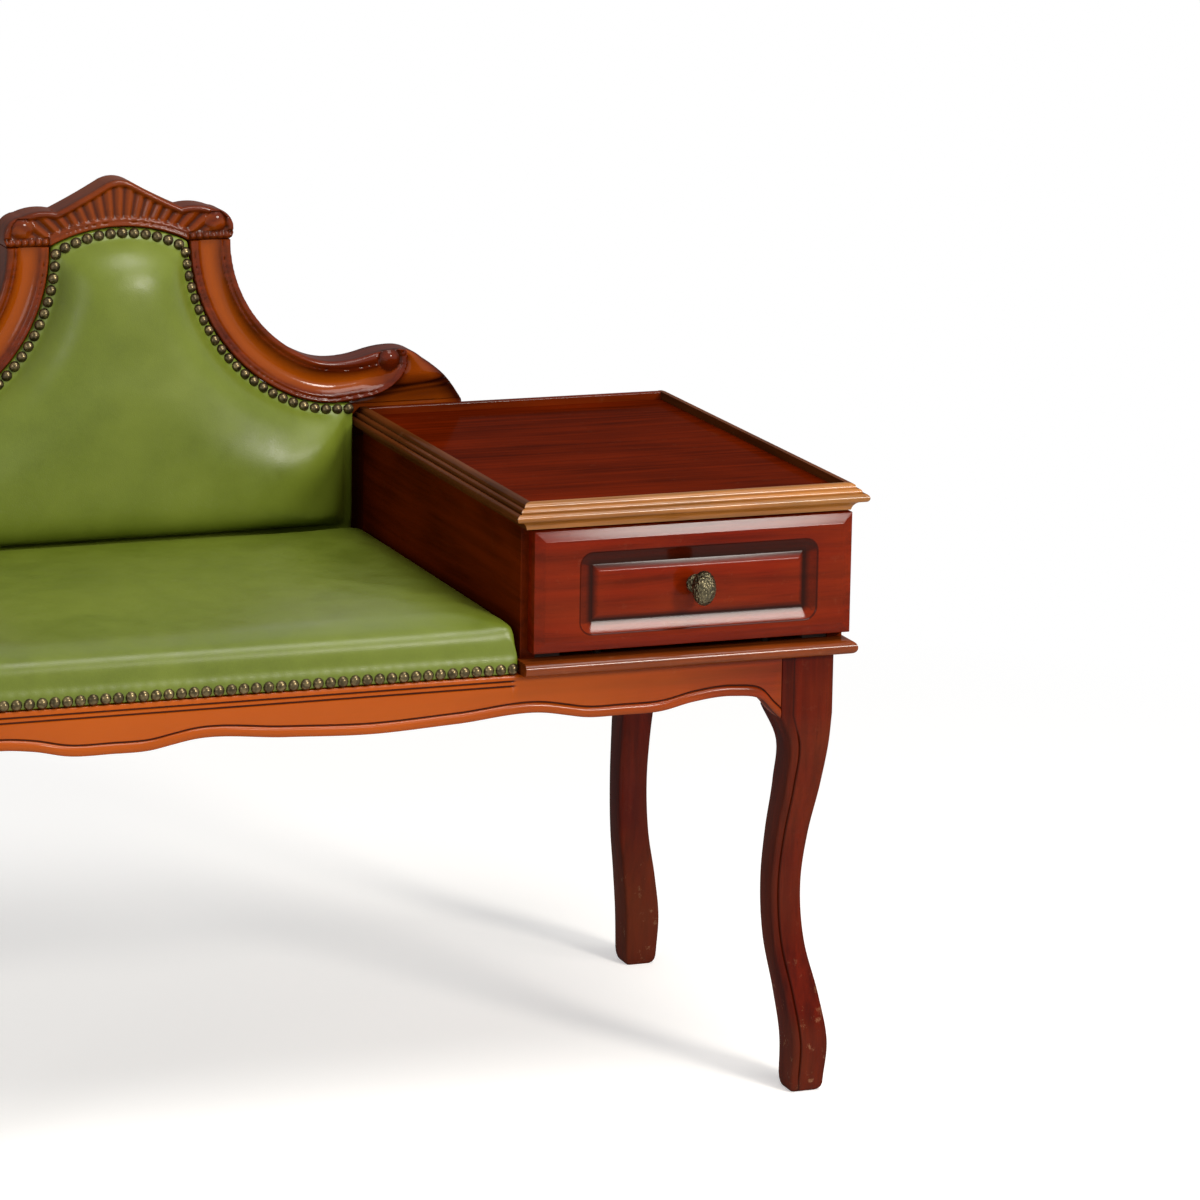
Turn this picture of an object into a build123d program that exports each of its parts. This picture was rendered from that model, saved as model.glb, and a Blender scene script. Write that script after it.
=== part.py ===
from build123d import *
import os
from math import asin, atan2, cos, degrees, pi, radians, sin

# Telephone bench: an upholstered seat and carved back, with a small drawer table at its right end.
# Millimetres. X runs along the bench, -Y is the front, Z is up. The origin is on the floor,
# under the middle of the bench's overall box.

# ---------------------------------------------------------------- driving dimensions
bench_length = 904.8          # left feet to the right edge of the table moulding
frame_depth = 458.0           # front faces to rear faces of the legs
seat_rail_top = 414.0         # top of the seat rails and of the leg blocks
table_height = 570.0          # lip of the table top
back_height = 800.0           # top of the crest
table_width = 335.0           # over the moulding of the table top

joint_gap = 0.2               # between hard pieces that are glued or screwed together
soft_gap = 0.4                # between a soft piece and what it lies on
tenon_gap = 0.15              # round a tenon or a dowel in its hole

# ---------------------------------------------------------------- legs and rails
leg_block = 51.0
leg_block_bottom = 358.0
leg_edge_ease = 2.5           # flat along the four edges of a leg
foot_flare = 2.8              # the feet stand out this far beyond the leg blocks
# height, how far the outer faces stand in, and the section's width, from the knee to the foot
leg_stations = (
    (leg_block_bottom, 0.0, leg_block),
    (330.0, 1.8, 38.5),
    (290.0, 7.0, 34.5),
    (240.0, 15.2, 31.0),
    (196.0, 19.0, 29.5),
    (140.0, 15.5, 30.5),
    (90.0, 4.5, 33.5),
    (46.0, -2.6, 35.0),
    (12.0, 0.0, 32.5),
    (0.0, 4.0, 27.0),
)
leg_sections = 14             # flat sections that the smooth leg is lofted through
rail_thickness = 22.0
rear_rail_height = 45.0
side_rail_height = 42.0
tenon_length = 18.0
tenon_thickness = 9.0
tenon_height = 24.0
tenon_drop = 8.0              # tenons below the rail tops
rail_arch_end = 24.0          # flat stretch at each end of a side rail's lower edge
rail_arch_rise = 9.0
cross_rail_height = 34.0
cross_rail_lap = 12.0         # cross rail left of the table box
apron_groove = 1.5
apron_bead = 9.0
apron_reeds = (5.0, 9.5)      # thin grooves below the rail top, under the seat
apron_reed_height = 1.3
# lower edge of the apron: distance from its right end, and drop below the rail top
apron_edge = (
    (0.0, 58.0), (6.5, 51.8), (18.5, 39.2), (45.5, 34.0), (84.5, 36.6), (114.5, 42.8),
    (152.5, 43.6), (189.5, 42.8), (206.0, 39.7), (223.5, 36.5), (309.5, 40.4),
)
apron_lowest = 43.6
corner_block_leg = 52.0
corner_block_height = 26.0
corner_block_drop = 6.0       # corner blocks below the rail tops
peg_sides = 8                 # sides of small round pegs, screws and holes
screw_head_radius = 4.0
screw_shank_radius = 1.8
screw_length = 36.0           # of the screws in the table's base board
screw_head_height = 3.0
screw_depth = 20.0            # of a corner block's screw in its leg

# ---------------------------------------------------------------- table top and box
bead_overhang = 10.5          # lowest bead of the moulding beyond the lip
lip_inset = 7.0               # inner face of the lip from its outer edge
panel_sink = 7.5              # top panel below the lip
moulding_height = 16.0
cove_height = 8.5
box_inset = 2.5               # side panels in from the lip
side_thickness = 14.0
table_back_thickness = 10.0
base_thickness = 12.0
base_overhang = 6.0           # bullnose beyond the right side panel
base_before_lip = 8.0
rim_rear_ease = 1.5
lip_behind_legs = 7.0
drawer_front_thickness = 18.5
drawer_front_proud = 2.0      # drawer face before the lip
lip_before_legs = 5.7
frame_inset = 24.2            # right leg faces in from the edge of the moulding
stretcher_depth = 75.0
table_screw_inset = 15.0      # from the outer faces of the long rails
table_screw_side = 74.0       # from the outer faces of the box's sides
clip_width = 9.0
clip_depth = 28.0
# section of the moulding, from the lip over three reeds into the cove: how far out from the lip's
# outer edge, and how far below the lip's top
rim_points = (
    (-lip_inset, 0.0), (-3.2, 0.0), (-0.2, 1.3), (1.0, 4.6), (4.4, 5.7), (4.8, 9.2),
    (bead_overhang, 12.7), (8.0, moulding_height), (0.6, moulding_height + 2.6),
    (-box_inset, moulding_height + cove_height),
)

# ---------------------------------------------------------------- drawer
drawer_side_gap = 2.0
drawer_side_height = 92.0
drawer_side_thickness = 10.0
drawer_bottom_thickness = 4.0
drawer_groove_height = 8.0
drawer_groove_depth = 5.0
drawer_groove_gap = 0.15
drawer_back_drop = 4.0        # drawer's back below its sides
drawer_play = 0.8             # drawer's rear end before its stops
runner_height = 9.0
runner_width = 24.0
runner_gap = 0.3
kicker_gap = 1.5              # kickers above the drawer's sides
drawer_front_height = 110.5
drawer_front_rise = 7.0       # lower edge of the drawer front above the base board
drawer_front_width = 303.3
drawer_front_reveal = 9.5     # left end of the drawer front from the lip's left edge
drawer_front_gap = 0.5        # behind the drawer front
bevel_width = 10.0
bevel_depth = 3.5
sunk_width = 227.0
sunk_height = 75.0
sunk_depth = 4.5
sunk_radius = 12.0
sunk_slope = 20               # degrees
field_width = 195.0
field_height = 49.0
field_rise = 3.0
field_slope = 55              # degrees
field_shift = 2.0             # field up and to the left in its panel
panel_shift_x = 4.0
panel_shift_z = -3.0
stop_length = 12.0
stop_height = 22.0

knob_reach = 31.0
knob_width = 25.0
knob_height = 31.0
knob_depth = 21.0
knob_rose_radius = 8.5
knob_rose_height = 3.0
knob_stem_radius = 4.5
knob_sides = 12
knob_turns = (-75, -50, -25, 0, 25, 50, 75)  # degrees at which the head's sections lie
knob_overlap = 3.0            # stem into the head
knob_screw_share = 0.3        # of the head's depth that the screw enters
knob_screw_radius = 2.0

# ---------------------------------------------------------------- seat
seat_board_thickness = 12.0
seat_front_height = 40.0      # rail to the rolled front edge
seat_crown = 14.0
seat_side_inset = 2.0         # from the legs' left faces
seat_front_inset = 1.8
seat_table_gap = 1.5
seat_back_gap = 1.6
board_margin = 5.0            # seat board in from the cover
breather_radius = 9.0
breather_spacing = (150, 110)
# the seat's sections, from the nailed band up over the rolled edge to the crown: height above the
# board, and how far the sides stand in
seat_sections = (
    (0.0, 0.0), (11.0, 0.0), (20.0, -1.0), (seat_front_height - 8.0, 0.4),
    (seat_front_height - 1.5, 6.5),
    (seat_front_height + 3.6, 28.0), (seat_front_height + 9.5, 85.0),
    (seat_front_height + seat_crown, 190.0),
)
seat_band = 12.0              # the cover is as thick below this height as the skin is wide
cover_thickness = 1.6
nail_radius = 4.75
nail_height = 2.8
nail_sides = 6
nail_taper = 38               # degrees of the flanks of a nail head
nail_spacing = 11.3
nail_rise = 5.8
nail_row_end = 6.0            # front row in from the seat's ends
nail_corner = 19.0            # side row in from the seat's corners
seat_corner = 5.0
dust_cover_thickness = 1.3

# ---------------------------------------------------------------- back
back_lap = 22.5               # back posts behind the rear legs
post_drop = 45.0              # posts' feet below the rail tops
back_thickness = 36.0         # swoops and crest
band_width = 40.0             # moulded band of the swoops
post_width = 34.0
wing_reach = 94.5             # wing of the back over the table, from the side panel
crest_half_width = 107.5
swoop_top = 740.0             # here the swoops run upright and meet the crest
arch_rise = 16.0              # middle of the crest's lower edge above that
valley_rise = 48.4            # lowest point of the swoop above the table
scroll_rise = 57.4            # top of the scroll above the table
valley_to_end = 125.0
scroll_to_end = 63.0
eye_to_end = 72.0
eye_rise = 48.0
scroll_nose = 35.0
swoop_turn = 67.0             # degrees that the upper arc of the swoop turns
board_thickness = 12.0
pad_depth = 38.0
pad_rise = 48.0               # lower edge of the padding above the seat rails
board_drop = 40.0             # back board below the padding
pad_draw = 0.8                # share of the inset by which the outline's upper corners move inward
pad_low_draw = 0.12           # share of the inset by which the lower edge is drawn in
pad_root = 12.5               # inset of the padding at the board
# depth before the board and inset, from the nailed margin up to the crown
pad_sections = ((0.0, 0.6), (cover_thickness, 0.6), (cover_thickness + 0.1, 10.5), (8.0, 12.5),
                (21.0, 20.0), (pad_depth - 6.0, 34.0), (pad_depth, 52.0))
nail_inset = 5.6              # back nails in from the edge of the upholstery
lowest_nail_rise = 8.0        # above the padding's lower edge
nail_sink = 0.3               # back nails into the cover's margin
cove_radius = 15.0
cove_depth = 5.5
cove_sides = 12
cove_end_radii = (12.0, 5.0)  # of the pocket that ends the cove in the scroll, at its mouth and floor
cove_end_shift = (-20.0, -15.5)  # from the eye of the scroll
wing_drop = 12.0              # right wing below the table's lip, behind it
left_wing_setback = 8.0
leaf_shift = (-17.0, 34.0)    # middle of the leaf's edge, from the back's end and the table's lip
nose_turn = radians(43.0)
# edge of the scroll, from the band's lower edge round the eye, as offsets from the eye
scroll_edge = ((-29.0, -37.0), (-12.0, -33.0), (2.0, -26.0), (13.0, -15.0), (17.5, 0.0), (14.0, 12.0))
# the crest's outline from a swoop to the middle, from its end and from the joint's level
lobe_side = (2.9, 13.5)
lobe_top = (-14.0, 29.0)
dip_side = (-31.0, 33.2)
dip = (-47.0, 32.0)
# and from the middle of the back and the top of the crest
shoulder_side = (38.0, -17.0)
shoulder = (16.0, -5.0)
eye_radius = 7.5              # boss in the middle of the scroll
ring_width = 7.5              # groove round the boss
ring_depth = 3.0
dowel_radius = 4.0
dowel_length = 36.0
dowel_inset = 13.0            # dowels before the rear face of the back
bolt_radius = 3.0
bolt_head_radius = 5.5
bolt_head_height = 3.0
bolt_sink = 4.5               # heads below the rear faces of the posts
bolt_depth = 15.0             # in the leg or rail
bolt_drops = (32.0, 12.0)     # below the rail tops
crest_dowel_shift = 9.0       # either side of the middle of the band
left_dowel_shifts = (10.0, 24.0)   # from the back's left end
right_dowel_shifts = (8.0, 22.0)   # from the upholstery's right end
right_post_width = 42.0
post_cover = 9.0              # right post past the left side of the table box, behind it
outer_panel_thickness = 3.0
lower_rail_height = 50.0
lower_rail_rise = 10.0        # above the seat rails

# ---------------------------------------------------------------- places worked out from them
x_left = -bench_length / 2
x_right = bench_length / 2
frame_left = x_left + foot_flare
lip_left = x_right - table_width + bead_overhang
lip_right = x_right - bead_overhang
box_left = lip_left + box_inset
box_right = lip_right - box_inset
frame_right = x_right - frame_inset

overall_depth = knob_reach + drawer_front_proud + lip_before_legs + frame_depth + back_lap
y_front = -overall_depth / 2
drawer_face = y_front + knob_reach
lip_front = drawer_face + drawer_front_proud
legs_front = lip_front + lip_before_legs
legs_rear = legs_front + frame_depth
back_rear = legs_rear + back_lap
back_front = back_rear - back_thickness
lip_rear = legs_rear + lip_behind_legs
box_front = drawer_face + drawer_front_thickness + drawer_front_gap

base_bottom = seat_rail_top
base_top = base_bottom + base_thickness
moulding_bottom = table_height - moulding_height
panel_top = table_height - panel_sink

half_back = (box_left + wing_reach - frame_left) / 2
back_centre = frame_left + half_back


def front_plane(y):
    """Upright plane facing the front, at depth y."""
    return Plane.XZ.offset(-y)


def save(part, name):
    """Label a finished piece and write it under its name."""
    part.label = name
    export_step(part, f"parts/{name}.step")


def block(x0, x1, y0, y1, z0, z1, mode=Mode.ADD):
    """A board given by its faces, added to the piece that is being built."""
    with Locations(((x0 + x1) / 2, (y0 + y1) / 2, (z0 + z1) / 2)):
        Box(x1 - x0, y1 - y0, z1 - z0, mode=mode)


def cut_block(x0, x1, y0, y1, z0, z1):
    """A rectangular hole given by its faces."""
    block(x0, x1, y0, y1, z0, z1, mode=Mode.SUBTRACT)


def rounds(planes, radius, hole=False):
    """Few-sided outlines on the planes: pegs lie inside their circle, and holes outside it."""
    with BuildSketch(*planes) as outlines:
        RegularPolygon(radius, peg_sides, major_radius=not hole)
    return outlines.sketch


def drill(planes, radius, depth):
    """Holes that run from the planes against their normals."""
    extrude(rounds(planes, radius, hole=True), amount=-depth, mode=Mode.SUBTRACT)


def screws(planes, head_radius, head_height, shank_radius, length):
    """Screws with the upper faces of their heads on the planes, added to the piece being built."""
    extrude(rounds(planes, shank_radius), amount=-length)
    extrude(rounds(planes, head_radius), amount=-head_height)


os.makedirs("parts", exist_ok=True)

# ================================================================ legs
# A leg is lofted through square sections that step inward at the ankle and out again at the foot,
# and it ends in a block with a mortise for each of its two rails.
tenon_high = seat_rail_top - tenon_drop
tenon_low = tenon_high - tenon_height
tenon_inset = (rail_thickness - tenon_thickness) / 2

leg_places = {
    "leg_front_left": (frame_left, legs_front, 1, 1),
    "leg_front_right": (frame_right, legs_front, -1, 1),
    "leg_rear_left": (frame_left, legs_rear, 1, -1),
    "leg_rear_right": (frame_right, legs_rear, -1, -1),
}


def span(corner, inward, near, far):
    """Low and high coordinate of a stretch measured inward from an outer face."""
    a = corner + inward * near
    b = corner + inward * far
    return min(a, b), max(a, b)


# Each corner block is held by a screw that runs through it into the inner edge of its leg. The planes
# lie on the screw heads, which rest on the block's slanted face.
block_top = seat_rail_top - corner_block_drop
block_notch = leg_block - rail_thickness + joint_gap
block_reach = block_notch + corner_block_leg
block_screw_planes = []
for corner_x, corner_y, in_x, in_y in leg_places.values():
    face_middle = rail_thickness + joint_gap + block_reach / 2
    block_screw_planes.append(
        Plane(origin=(corner_x + in_x * face_middle, corner_y + in_y * face_middle,
                      block_top - corner_block_height / 2),
              z_dir=(in_x, in_y, 0)).offset(screw_head_height))
block_depth = (2 * (rail_thickness + joint_gap) + block_reach - 2 * leg_block) / 2**0.5
block_screw_length = screw_head_height + block_depth + screw_depth

# Four screws hold the table's base board down on the long rails.
table_screw_planes = [
    Plane(origin=(x, y, base_top + screw_head_height), z_dir=(0, 0, 1))
    for x in (box_left + table_screw_side, box_right - table_screw_side)
    for y in (legs_front + table_screw_inset, legs_rear - table_screw_inset)
]

# The back's two posts are bolted from behind, the left one to the rear leg and the right one to the
# rear rail.
pad_left = frame_left + post_width
pad_right = lip_left - bead_overhang - 1.0
right_post_left = pad_right - right_post_width
bolt_levels = [seat_rail_top - drop for drop in bolt_drops]
left_bolt_planes = [
    Plane(origin=(frame_left + post_width / 2, back_rear - bolt_sink, level), z_dir=(0, 1, 0))
    for level in bolt_levels
]
right_bolt_planes = [
    Plane(origin=(right_post_left + right_post_width / 2, back_rear - bolt_sink, level), z_dir=(0, 1, 0))
    for level in bolt_levels
]
bolt_length = back_lap - bolt_sink + bolt_depth


leg_curve = Spline(*leg_stations)
for leg_name, (corner_x, corner_y, in_x, in_y) in leg_places.items():
    with BuildPart() as leg:
        for step in range(leg_sections + 1):
            height, inset, width = leg_curve @ (step / leg_sections)
            middle = (corner_x + in_x * (inset + width / 2), corner_y + in_y * (inset + width / 2))
            with BuildSketch(Plane.XY.offset(height)) as section:
                with Locations(middle):
                    Rectangle(width, width)
                chamfer(section.vertices(), length=leg_edge_ease)
        loft(ruled=True)
        block(*span(corner_x, in_x, 0, leg_block), *span(corner_y, in_y, 0, leg_block),
              leg_block_bottom, seat_rail_top)
        near = tenon_inset - tenon_gap
        far = tenon_inset + tenon_thickness + tenon_gap
        reach = leg_block - tenon_length - tenon_gap
        cut_block(*span(corner_x, in_x, reach, leg_block), *span(corner_y, in_y, near, far),
                  tenon_low - tenon_gap, tenon_high + tenon_gap)
        cut_block(*span(corner_x, in_x, near, far), *span(corner_y, in_y, reach, leg_block),
                  tenon_low - tenon_gap, tenon_high + tenon_gap)
        drill(block_screw_planes, screw_shank_radius + tenon_gap, block_screw_length + tenon_gap)
        if leg_name == "leg_rear_left":
            drill(left_bolt_planes, bolt_radius + tenon_gap, bolt_length + tenon_gap)
    save(leg.part, leg_name)

# ================================================================ rails
apron_left = frame_left + leg_block + joint_gap
apron_right = frame_right - leg_block - joint_gap
apron_middle = (apron_left + apron_right) / 2


def apron_line(lift):
    """The serpentine lower edge of the front rail, raised by lift: arcs through every three points."""
    right = [(apron_right - run, seat_rail_top - drop + lift) for run, drop in apron_edge]
    left = [(2 * apron_middle - x, z) for x, z in right]
    middle = (apron_middle, seat_rail_top - apron_lowest + lift)
    points = left + [middle] + right[::-1]
    for first in range(0, len(points) - 1, 2):
        ThreePointArc(*points[first:first + 3])
    return points[0], points[-1]


with BuildPart() as front_rail:
    with BuildSketch(front_plane(legs_front)):
        with BuildLine():
            low_left, low_right = apron_line(0)
            Polyline(low_right, (apron_right, seat_rail_top), (apron_left, seat_rail_top), low_left)
        make_face()
    extrude(amount=-rail_thickness)
    # groove above the bead that follows the lower edge
    with BuildSketch(front_plane(legs_front)):
        with BuildLine():
            low_left, low_right = apron_line(apron_bead)
            high_left, high_right = apron_line(apron_bead + apron_groove)
            Line(low_left, high_left)
            Line(low_right, high_right)
        make_face()
    extrude(amount=-apron_groove, mode=Mode.SUBTRACT)
    # two thin beads along the top, under the seat only
    for drop in apron_reeds:
        cut_block(apron_left, lip_left - 6.0, legs_front, legs_front + apron_groove,
                  seat_rail_top - drop, seat_rail_top - drop + apron_reed_height)
    for end in (apron_left - tenon_length, apron_right):
        block(end, end + tenon_length, legs_front + tenon_inset,
              legs_front + tenon_inset + tenon_thickness, tenon_low, tenon_high)
    drill(table_screw_planes, screw_shank_radius + tenon_gap, screw_length + tenon_gap)
save(front_rail.part, "front_rail")

with BuildPart() as rear_rail:
    block(apron_left, apron_right, legs_rear - rail_thickness, legs_rear,
          seat_rail_top - rear_rail_height, seat_rail_top)
    for end in (apron_left - tenon_length, apron_right):
        block(end, end + tenon_length, legs_rear - tenon_inset - tenon_thickness,
              legs_rear - tenon_inset, tenon_low, tenon_high)
    drill(table_screw_planes, screw_shank_radius + tenon_gap, screw_length + tenon_gap)
    drill(right_bolt_planes, bolt_radius + tenon_gap, bolt_length + tenon_gap)
save(rear_rail.part, "rear_rail")

side_front = legs_front + leg_block + joint_gap
side_rear = legs_rear - leg_block - joint_gap
side_rails = {"left_rail": (frame_left, 1), "right_rail": (frame_right, -1)}
for rail_name, (corner_x, in_x) in side_rails.items():
    with BuildPart() as side_rail:
        # the lower edge is cut in a long shallow arch between two flat ends
        x0, x1 = span(corner_x, in_x, 0, rail_thickness)
        low = seat_rail_top - side_rail_height
        with BuildSketch(Plane.YZ.offset(x0)):
            with BuildLine():
                arch_front = (side_front + rail_arch_end, low)
                arch_rear = (side_rear - rail_arch_end, low)
                Polyline(arch_front, (side_front, low), (side_front, seat_rail_top),
                         (side_rear, seat_rail_top), (side_rear, low), arch_rear)
                ThreePointArc(arch_front, ((side_front + side_rear) / 2, low + rail_arch_rise),
                              arch_rear)
            make_face()
        extrude(amount=x1 - x0)
        for end in (side_front - tenon_length, side_rear):
            block(*span(corner_x, in_x, tenon_inset, tenon_inset + tenon_thickness),
                  end, end + tenon_length, tenon_low, tenon_high)
    save(side_rail.part, rail_name)

# The cross rail carries the left side of the table box and the right end of the seat board.
cross_left = box_left - cross_rail_lap
rail_inner_front = legs_front + rail_thickness + joint_gap
rail_inner_rear = legs_rear - rail_thickness - joint_gap
with BuildPart() as cross_rail:
    block(cross_left, cross_left + rail_thickness, rail_inner_front, rail_inner_rear,
          seat_rail_top - cross_rail_height, seat_rail_top)
save(cross_rail.part, "cross_rail")

# Corner blocks are glued in the angles of the frame, behind the leg blocks.
with BuildPart() as corner_blocks:
    for corner_x, corner_y, in_x, in_y in leg_places.values():
        ax = corner_x + in_x * (rail_thickness + joint_gap)
        ay = corner_y + in_y * (rail_thickness + joint_gap)
        with BuildSketch(Plane.XY.offset(block_top - corner_block_height)):
            with BuildLine():
                Polyline(
                    (ax + in_x * block_notch, ay),
                    (ax + in_x * block_reach, ay),
                    (ax, ay + in_y * block_reach),
                    (ax, ay + in_y * block_notch),
                    (ax + in_x * block_notch, ay + in_y * block_notch),
                    close=True,
                )
            make_face()
        extrude(amount=corner_block_height)
    drill(block_screw_planes, screw_shank_radius + tenon_gap, block_screw_length)
save(corner_blocks.part, "corner_blocks")

with BuildPart() as block_screws:
    screws(block_screw_planes, screw_head_radius, screw_head_height, screw_shank_radius,
           block_screw_length)
save(block_screws.part, "block_screws")

# ================================================================ seat
seat_left = frame_left + seat_side_inset
seat_right = lip_left - seat_table_gap
seat_front = legs_front + seat_front_inset
seat_rear = back_front - seat_back_gap
seat_bottom = seat_rail_top + soft_gap
seat_middle = ((seat_left + seat_right) / 2, (seat_front + seat_rear) / 2)
seat_length = seat_right - seat_left
seat_depth = seat_rear - seat_front

with BuildPart() as seat_board:
    block(seat_left + board_margin, seat_right - board_margin, seat_front + board_margin,
          seat_rear - board_margin, seat_rail_top, seat_rail_top + seat_board_thickness)
    # breather holes
    with BuildSketch(Plane.XY.offset(seat_rail_top)):
        with Locations(seat_middle):
            with GridLocations(*breather_spacing, 3, 3):
                RegularPolygon(breather_radius, peg_sides)
    extrude(amount=seat_board_thickness, mode=Mode.SUBTRACT)
save(seat_board.part, "seat_board")


def seat_faces(skin):
    """The seat's sections, all drawn in by the thickness of a skin."""
    faces = []
    for rise, inset in seat_sections:
        level = seat_bottom + (rise - skin if rise > seat_band else rise)
        with BuildSketch(Plane.XY.offset(level)) as section:
            with Locations(seat_middle):
                Rectangle(seat_length - 2 * (inset + skin), seat_depth - 2 * (inset + skin))
            chamfer(section.vertices(), length=seat_corner - skin / 2)
        faces.append(section.sketch.face())
    return faces


with BuildPart() as seat_foam:
    loft(seat_faces(cover_thickness + soft_gap), ruled=True)
    cut_block(seat_left, seat_right, seat_front, seat_rear, seat_bottom - 1,
              seat_rail_top + seat_board_thickness + soft_gap)
save(seat_foam.part, "seat_foam")

with BuildPart() as seat_cover:
    loft(seat_faces(0.0), ruled=True)
    loft(seat_faces(cover_thickness), ruled=True, mode=Mode.SUBTRACT)
save(seat_cover.part, "seat_cover")

with BuildPart() as dust_cover:
    cover_high = block_top - corner_block_height - joint_gap
    cover_low = cover_high - dust_cover_thickness
    block(frame_left + rail_thickness + 2, cross_left - 2, legs_front + rail_thickness + 2,
          legs_rear - rail_thickness - 2, cover_low, cover_high)
    for corner_y, in_y in ((legs_front, 1), (legs_rear, -1)):
        cut_block(frame_left, frame_left + leg_block + 1, *span(corner_y, in_y, 0, leg_block + 1),
                  cover_low, cover_high)
save(dust_cover.part, "dust_cover")


with BuildPart() as nail_head:
    with BuildSketch(Plane.XY):
        RegularPolygon(nail_radius, nail_sides)
    extrude(amount=nail_height, taper=nail_taper)


def nail_row(places, facing):
    """Nail heads with their flat sides at the places, added to the piece being built."""
    head = nail_head.part.solid()
    add(Compound([Plane(origin=place, x_dir=(0, 0, 1), z_dir=facing) * head for place in places]))


def even_steps(length, pitch):
    """Places along a run, from end to end, at about the pitch."""
    count = max(2, round(length / pitch) + 1)
    return [length * i / (count - 1) for i in range(count)]


nail_level = seat_rail_top + nail_rise
front_row = [
    (seat_left + nail_row_end + run, seat_front, nail_level)
    for run in even_steps(seat_length - 2 * nail_row_end, nail_spacing)
]
side_row = [
    (seat_left, seat_front + nail_corner + run, nail_level)
    for run in even_steps(seat_depth - 2 * nail_corner, nail_spacing)
]
with BuildPart() as seat_nails:
    nail_row(front_row, (0, -1, 0))
    nail_row(side_row, (-1, 0, 0))
save(seat_nails.part, "seat_nails")

# ================================================================ table box
base_left = lip_left
base_right = box_right + base_overhang
base_front = lip_front - base_before_lip
with BuildPart() as table_base:
    block(base_left, base_right, base_front, legs_rear, base_bottom, base_top)
    nose = table_base.edges().filter_by(Axis.X).group_by(Axis.Y)[0]
    nose += table_base.edges().filter_by(Axis.Y).group_by(Axis.X)[-1]
    fillet(nose, radius=base_thickness / 2 - 0.1)
    drill(table_screw_planes, screw_shank_radius + tenon_gap, screw_length)
save(table_base.part, "table_base")

with BuildPart() as table_screws:
    screws(table_screw_planes, screw_head_radius, screw_head_height, screw_shank_radius, screw_length)
save(table_screws.part, "table_screws")

for name, x in (("table_side_left", box_left), ("table_side_right", box_right - side_thickness)):
    with BuildPart() as table_side:
        block(x, x + side_thickness, box_front, legs_rear, base_top, moulding_bottom)
    save(table_side.part, name)

well_left = box_left + side_thickness
well_right = box_right - side_thickness
table_back_front = legs_rear - table_back_thickness
with BuildPart() as table_back:
    block(well_left + joint_gap, well_right - joint_gap, table_back_front, legs_rear,
          base_top, moulding_bottom)
save(table_back.part, "table_back")

stretcher_rear = lip_front + box_inset + stretcher_depth
with BuildPart() as top_stretcher:
    block(well_left + joint_gap, well_right - joint_gap, lip_front + box_inset, stretcher_rear,
          moulding_bottom - cove_height, moulding_bottom)
save(top_stretcher.part, "top_stretcher")

with BuildPart() as top_panel:
    block(lip_left + lip_inset, lip_right - lip_inset, lip_front + lip_inset, lip_rear - lip_inset,
          moulding_bottom, panel_top)
save(top_panel.part, "top_panel")


def rim_profile(plane, outward):
    """Section of the moulding on a plane, its outside at +outward."""
    points = [(outward * out, table_height - drop) for out, drop in rim_points]
    inside = [(-outward * box_inset, moulding_bottom), (-outward * lip_inset, moulding_bottom)]
    with BuildSketch(plane) as section:
        with BuildLine():
            Line(points[0], points[1])
            for first in range(1, len(points) - 1, 2):
                ThreePointArc(*points[first:first + 3])
            Polyline(points[-1], *inside, points[0])
        make_face()
    return section.sketch


mitre_left = Plane(origin=(lip_left, lip_front, 0), z_dir=(1, -1, 0))
mitre_right = Plane(origin=(lip_right, lip_front, 0), z_dir=(-1, -1, 0))
rim_front_y = lip_front - bead_overhang - 1.0
rim_length = lip_rear - rim_front_y
with BuildPart() as rim_front:
    start = Plane(origin=(x_right - table_width - 1, lip_front, 0), x_dir=(0, -1, 0), z_dir=(-1, 0, 0))
    extrude(rim_profile(start, 1), amount=-(table_width + 2))
    split(bisect_by=mitre_left, keep=Keep.TOP)
    split(bisect_by=mitre_right, keep=Keep.TOP)
save(rim_front.part, "rim_front")

with BuildPart() as rim_left:
    start = Plane(origin=(lip_left, rim_front_y, 0), x_dir=(1, 0, 0), z_dir=(0, -1, 0))
    extrude(rim_profile(start, -1), amount=-rim_length)
    split(bisect_by=mitre_left, keep=Keep.BOTTOM)
save(rim_left.part, "rim_left")

with BuildPart() as rim_right:
    start = Plane(origin=(lip_right, rim_front_y, 0), x_dir=(1, 0, 0), z_dir=(0, -1, 0))
    extrude(rim_profile(start, 1), amount=-rim_length)
    split(bisect_by=mitre_right, keep=Keep.BOTTOM)
    # the rear corner is clipped
    with BuildSketch(Plane.XY.offset(moulding_bottom - cove_height - 1)):
        with BuildLine():
            Polyline((x_right + 1, lip_rear - clip_depth), (x_right + 1, lip_rear + 1),
                     (x_right - bead_overhang - clip_width / 2, lip_rear + 1), close=True)
        make_face()
    extrude(amount=moulding_height + cove_height + 2, mode=Mode.SUBTRACT)
save(rim_right.part, "rim_right")

with BuildPart() as rim_rear:
    block(lip_left + lip_inset, lip_right - lip_inset, lip_rear - lip_inset, lip_rear,
          moulding_bottom, table_height)
    fillet(rim_rear.edges().filter_by(Axis.X).group_by(Axis.Z)[-1], radius=rim_rear_ease)
save(rim_rear.part, "rim_rear")

# ================================================================ drawer and what guides it
runner_top = base_top + runner_height
side_low = runner_top + runner_gap
side_high = side_low + drawer_side_height
stop_front = table_back_front - joint_gap - stop_length
drawer_rear = stop_front - drawer_play
runner_sides = ((well_left, well_left + runner_width), (well_right - runner_width, well_right))

with BuildPart() as drawer_runners:
    for x0, x1 in runner_sides:
        block(x0, x1, box_front + 2, table_back_front, base_top, runner_top)
save(drawer_runners.part, "drawer_runners")

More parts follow.
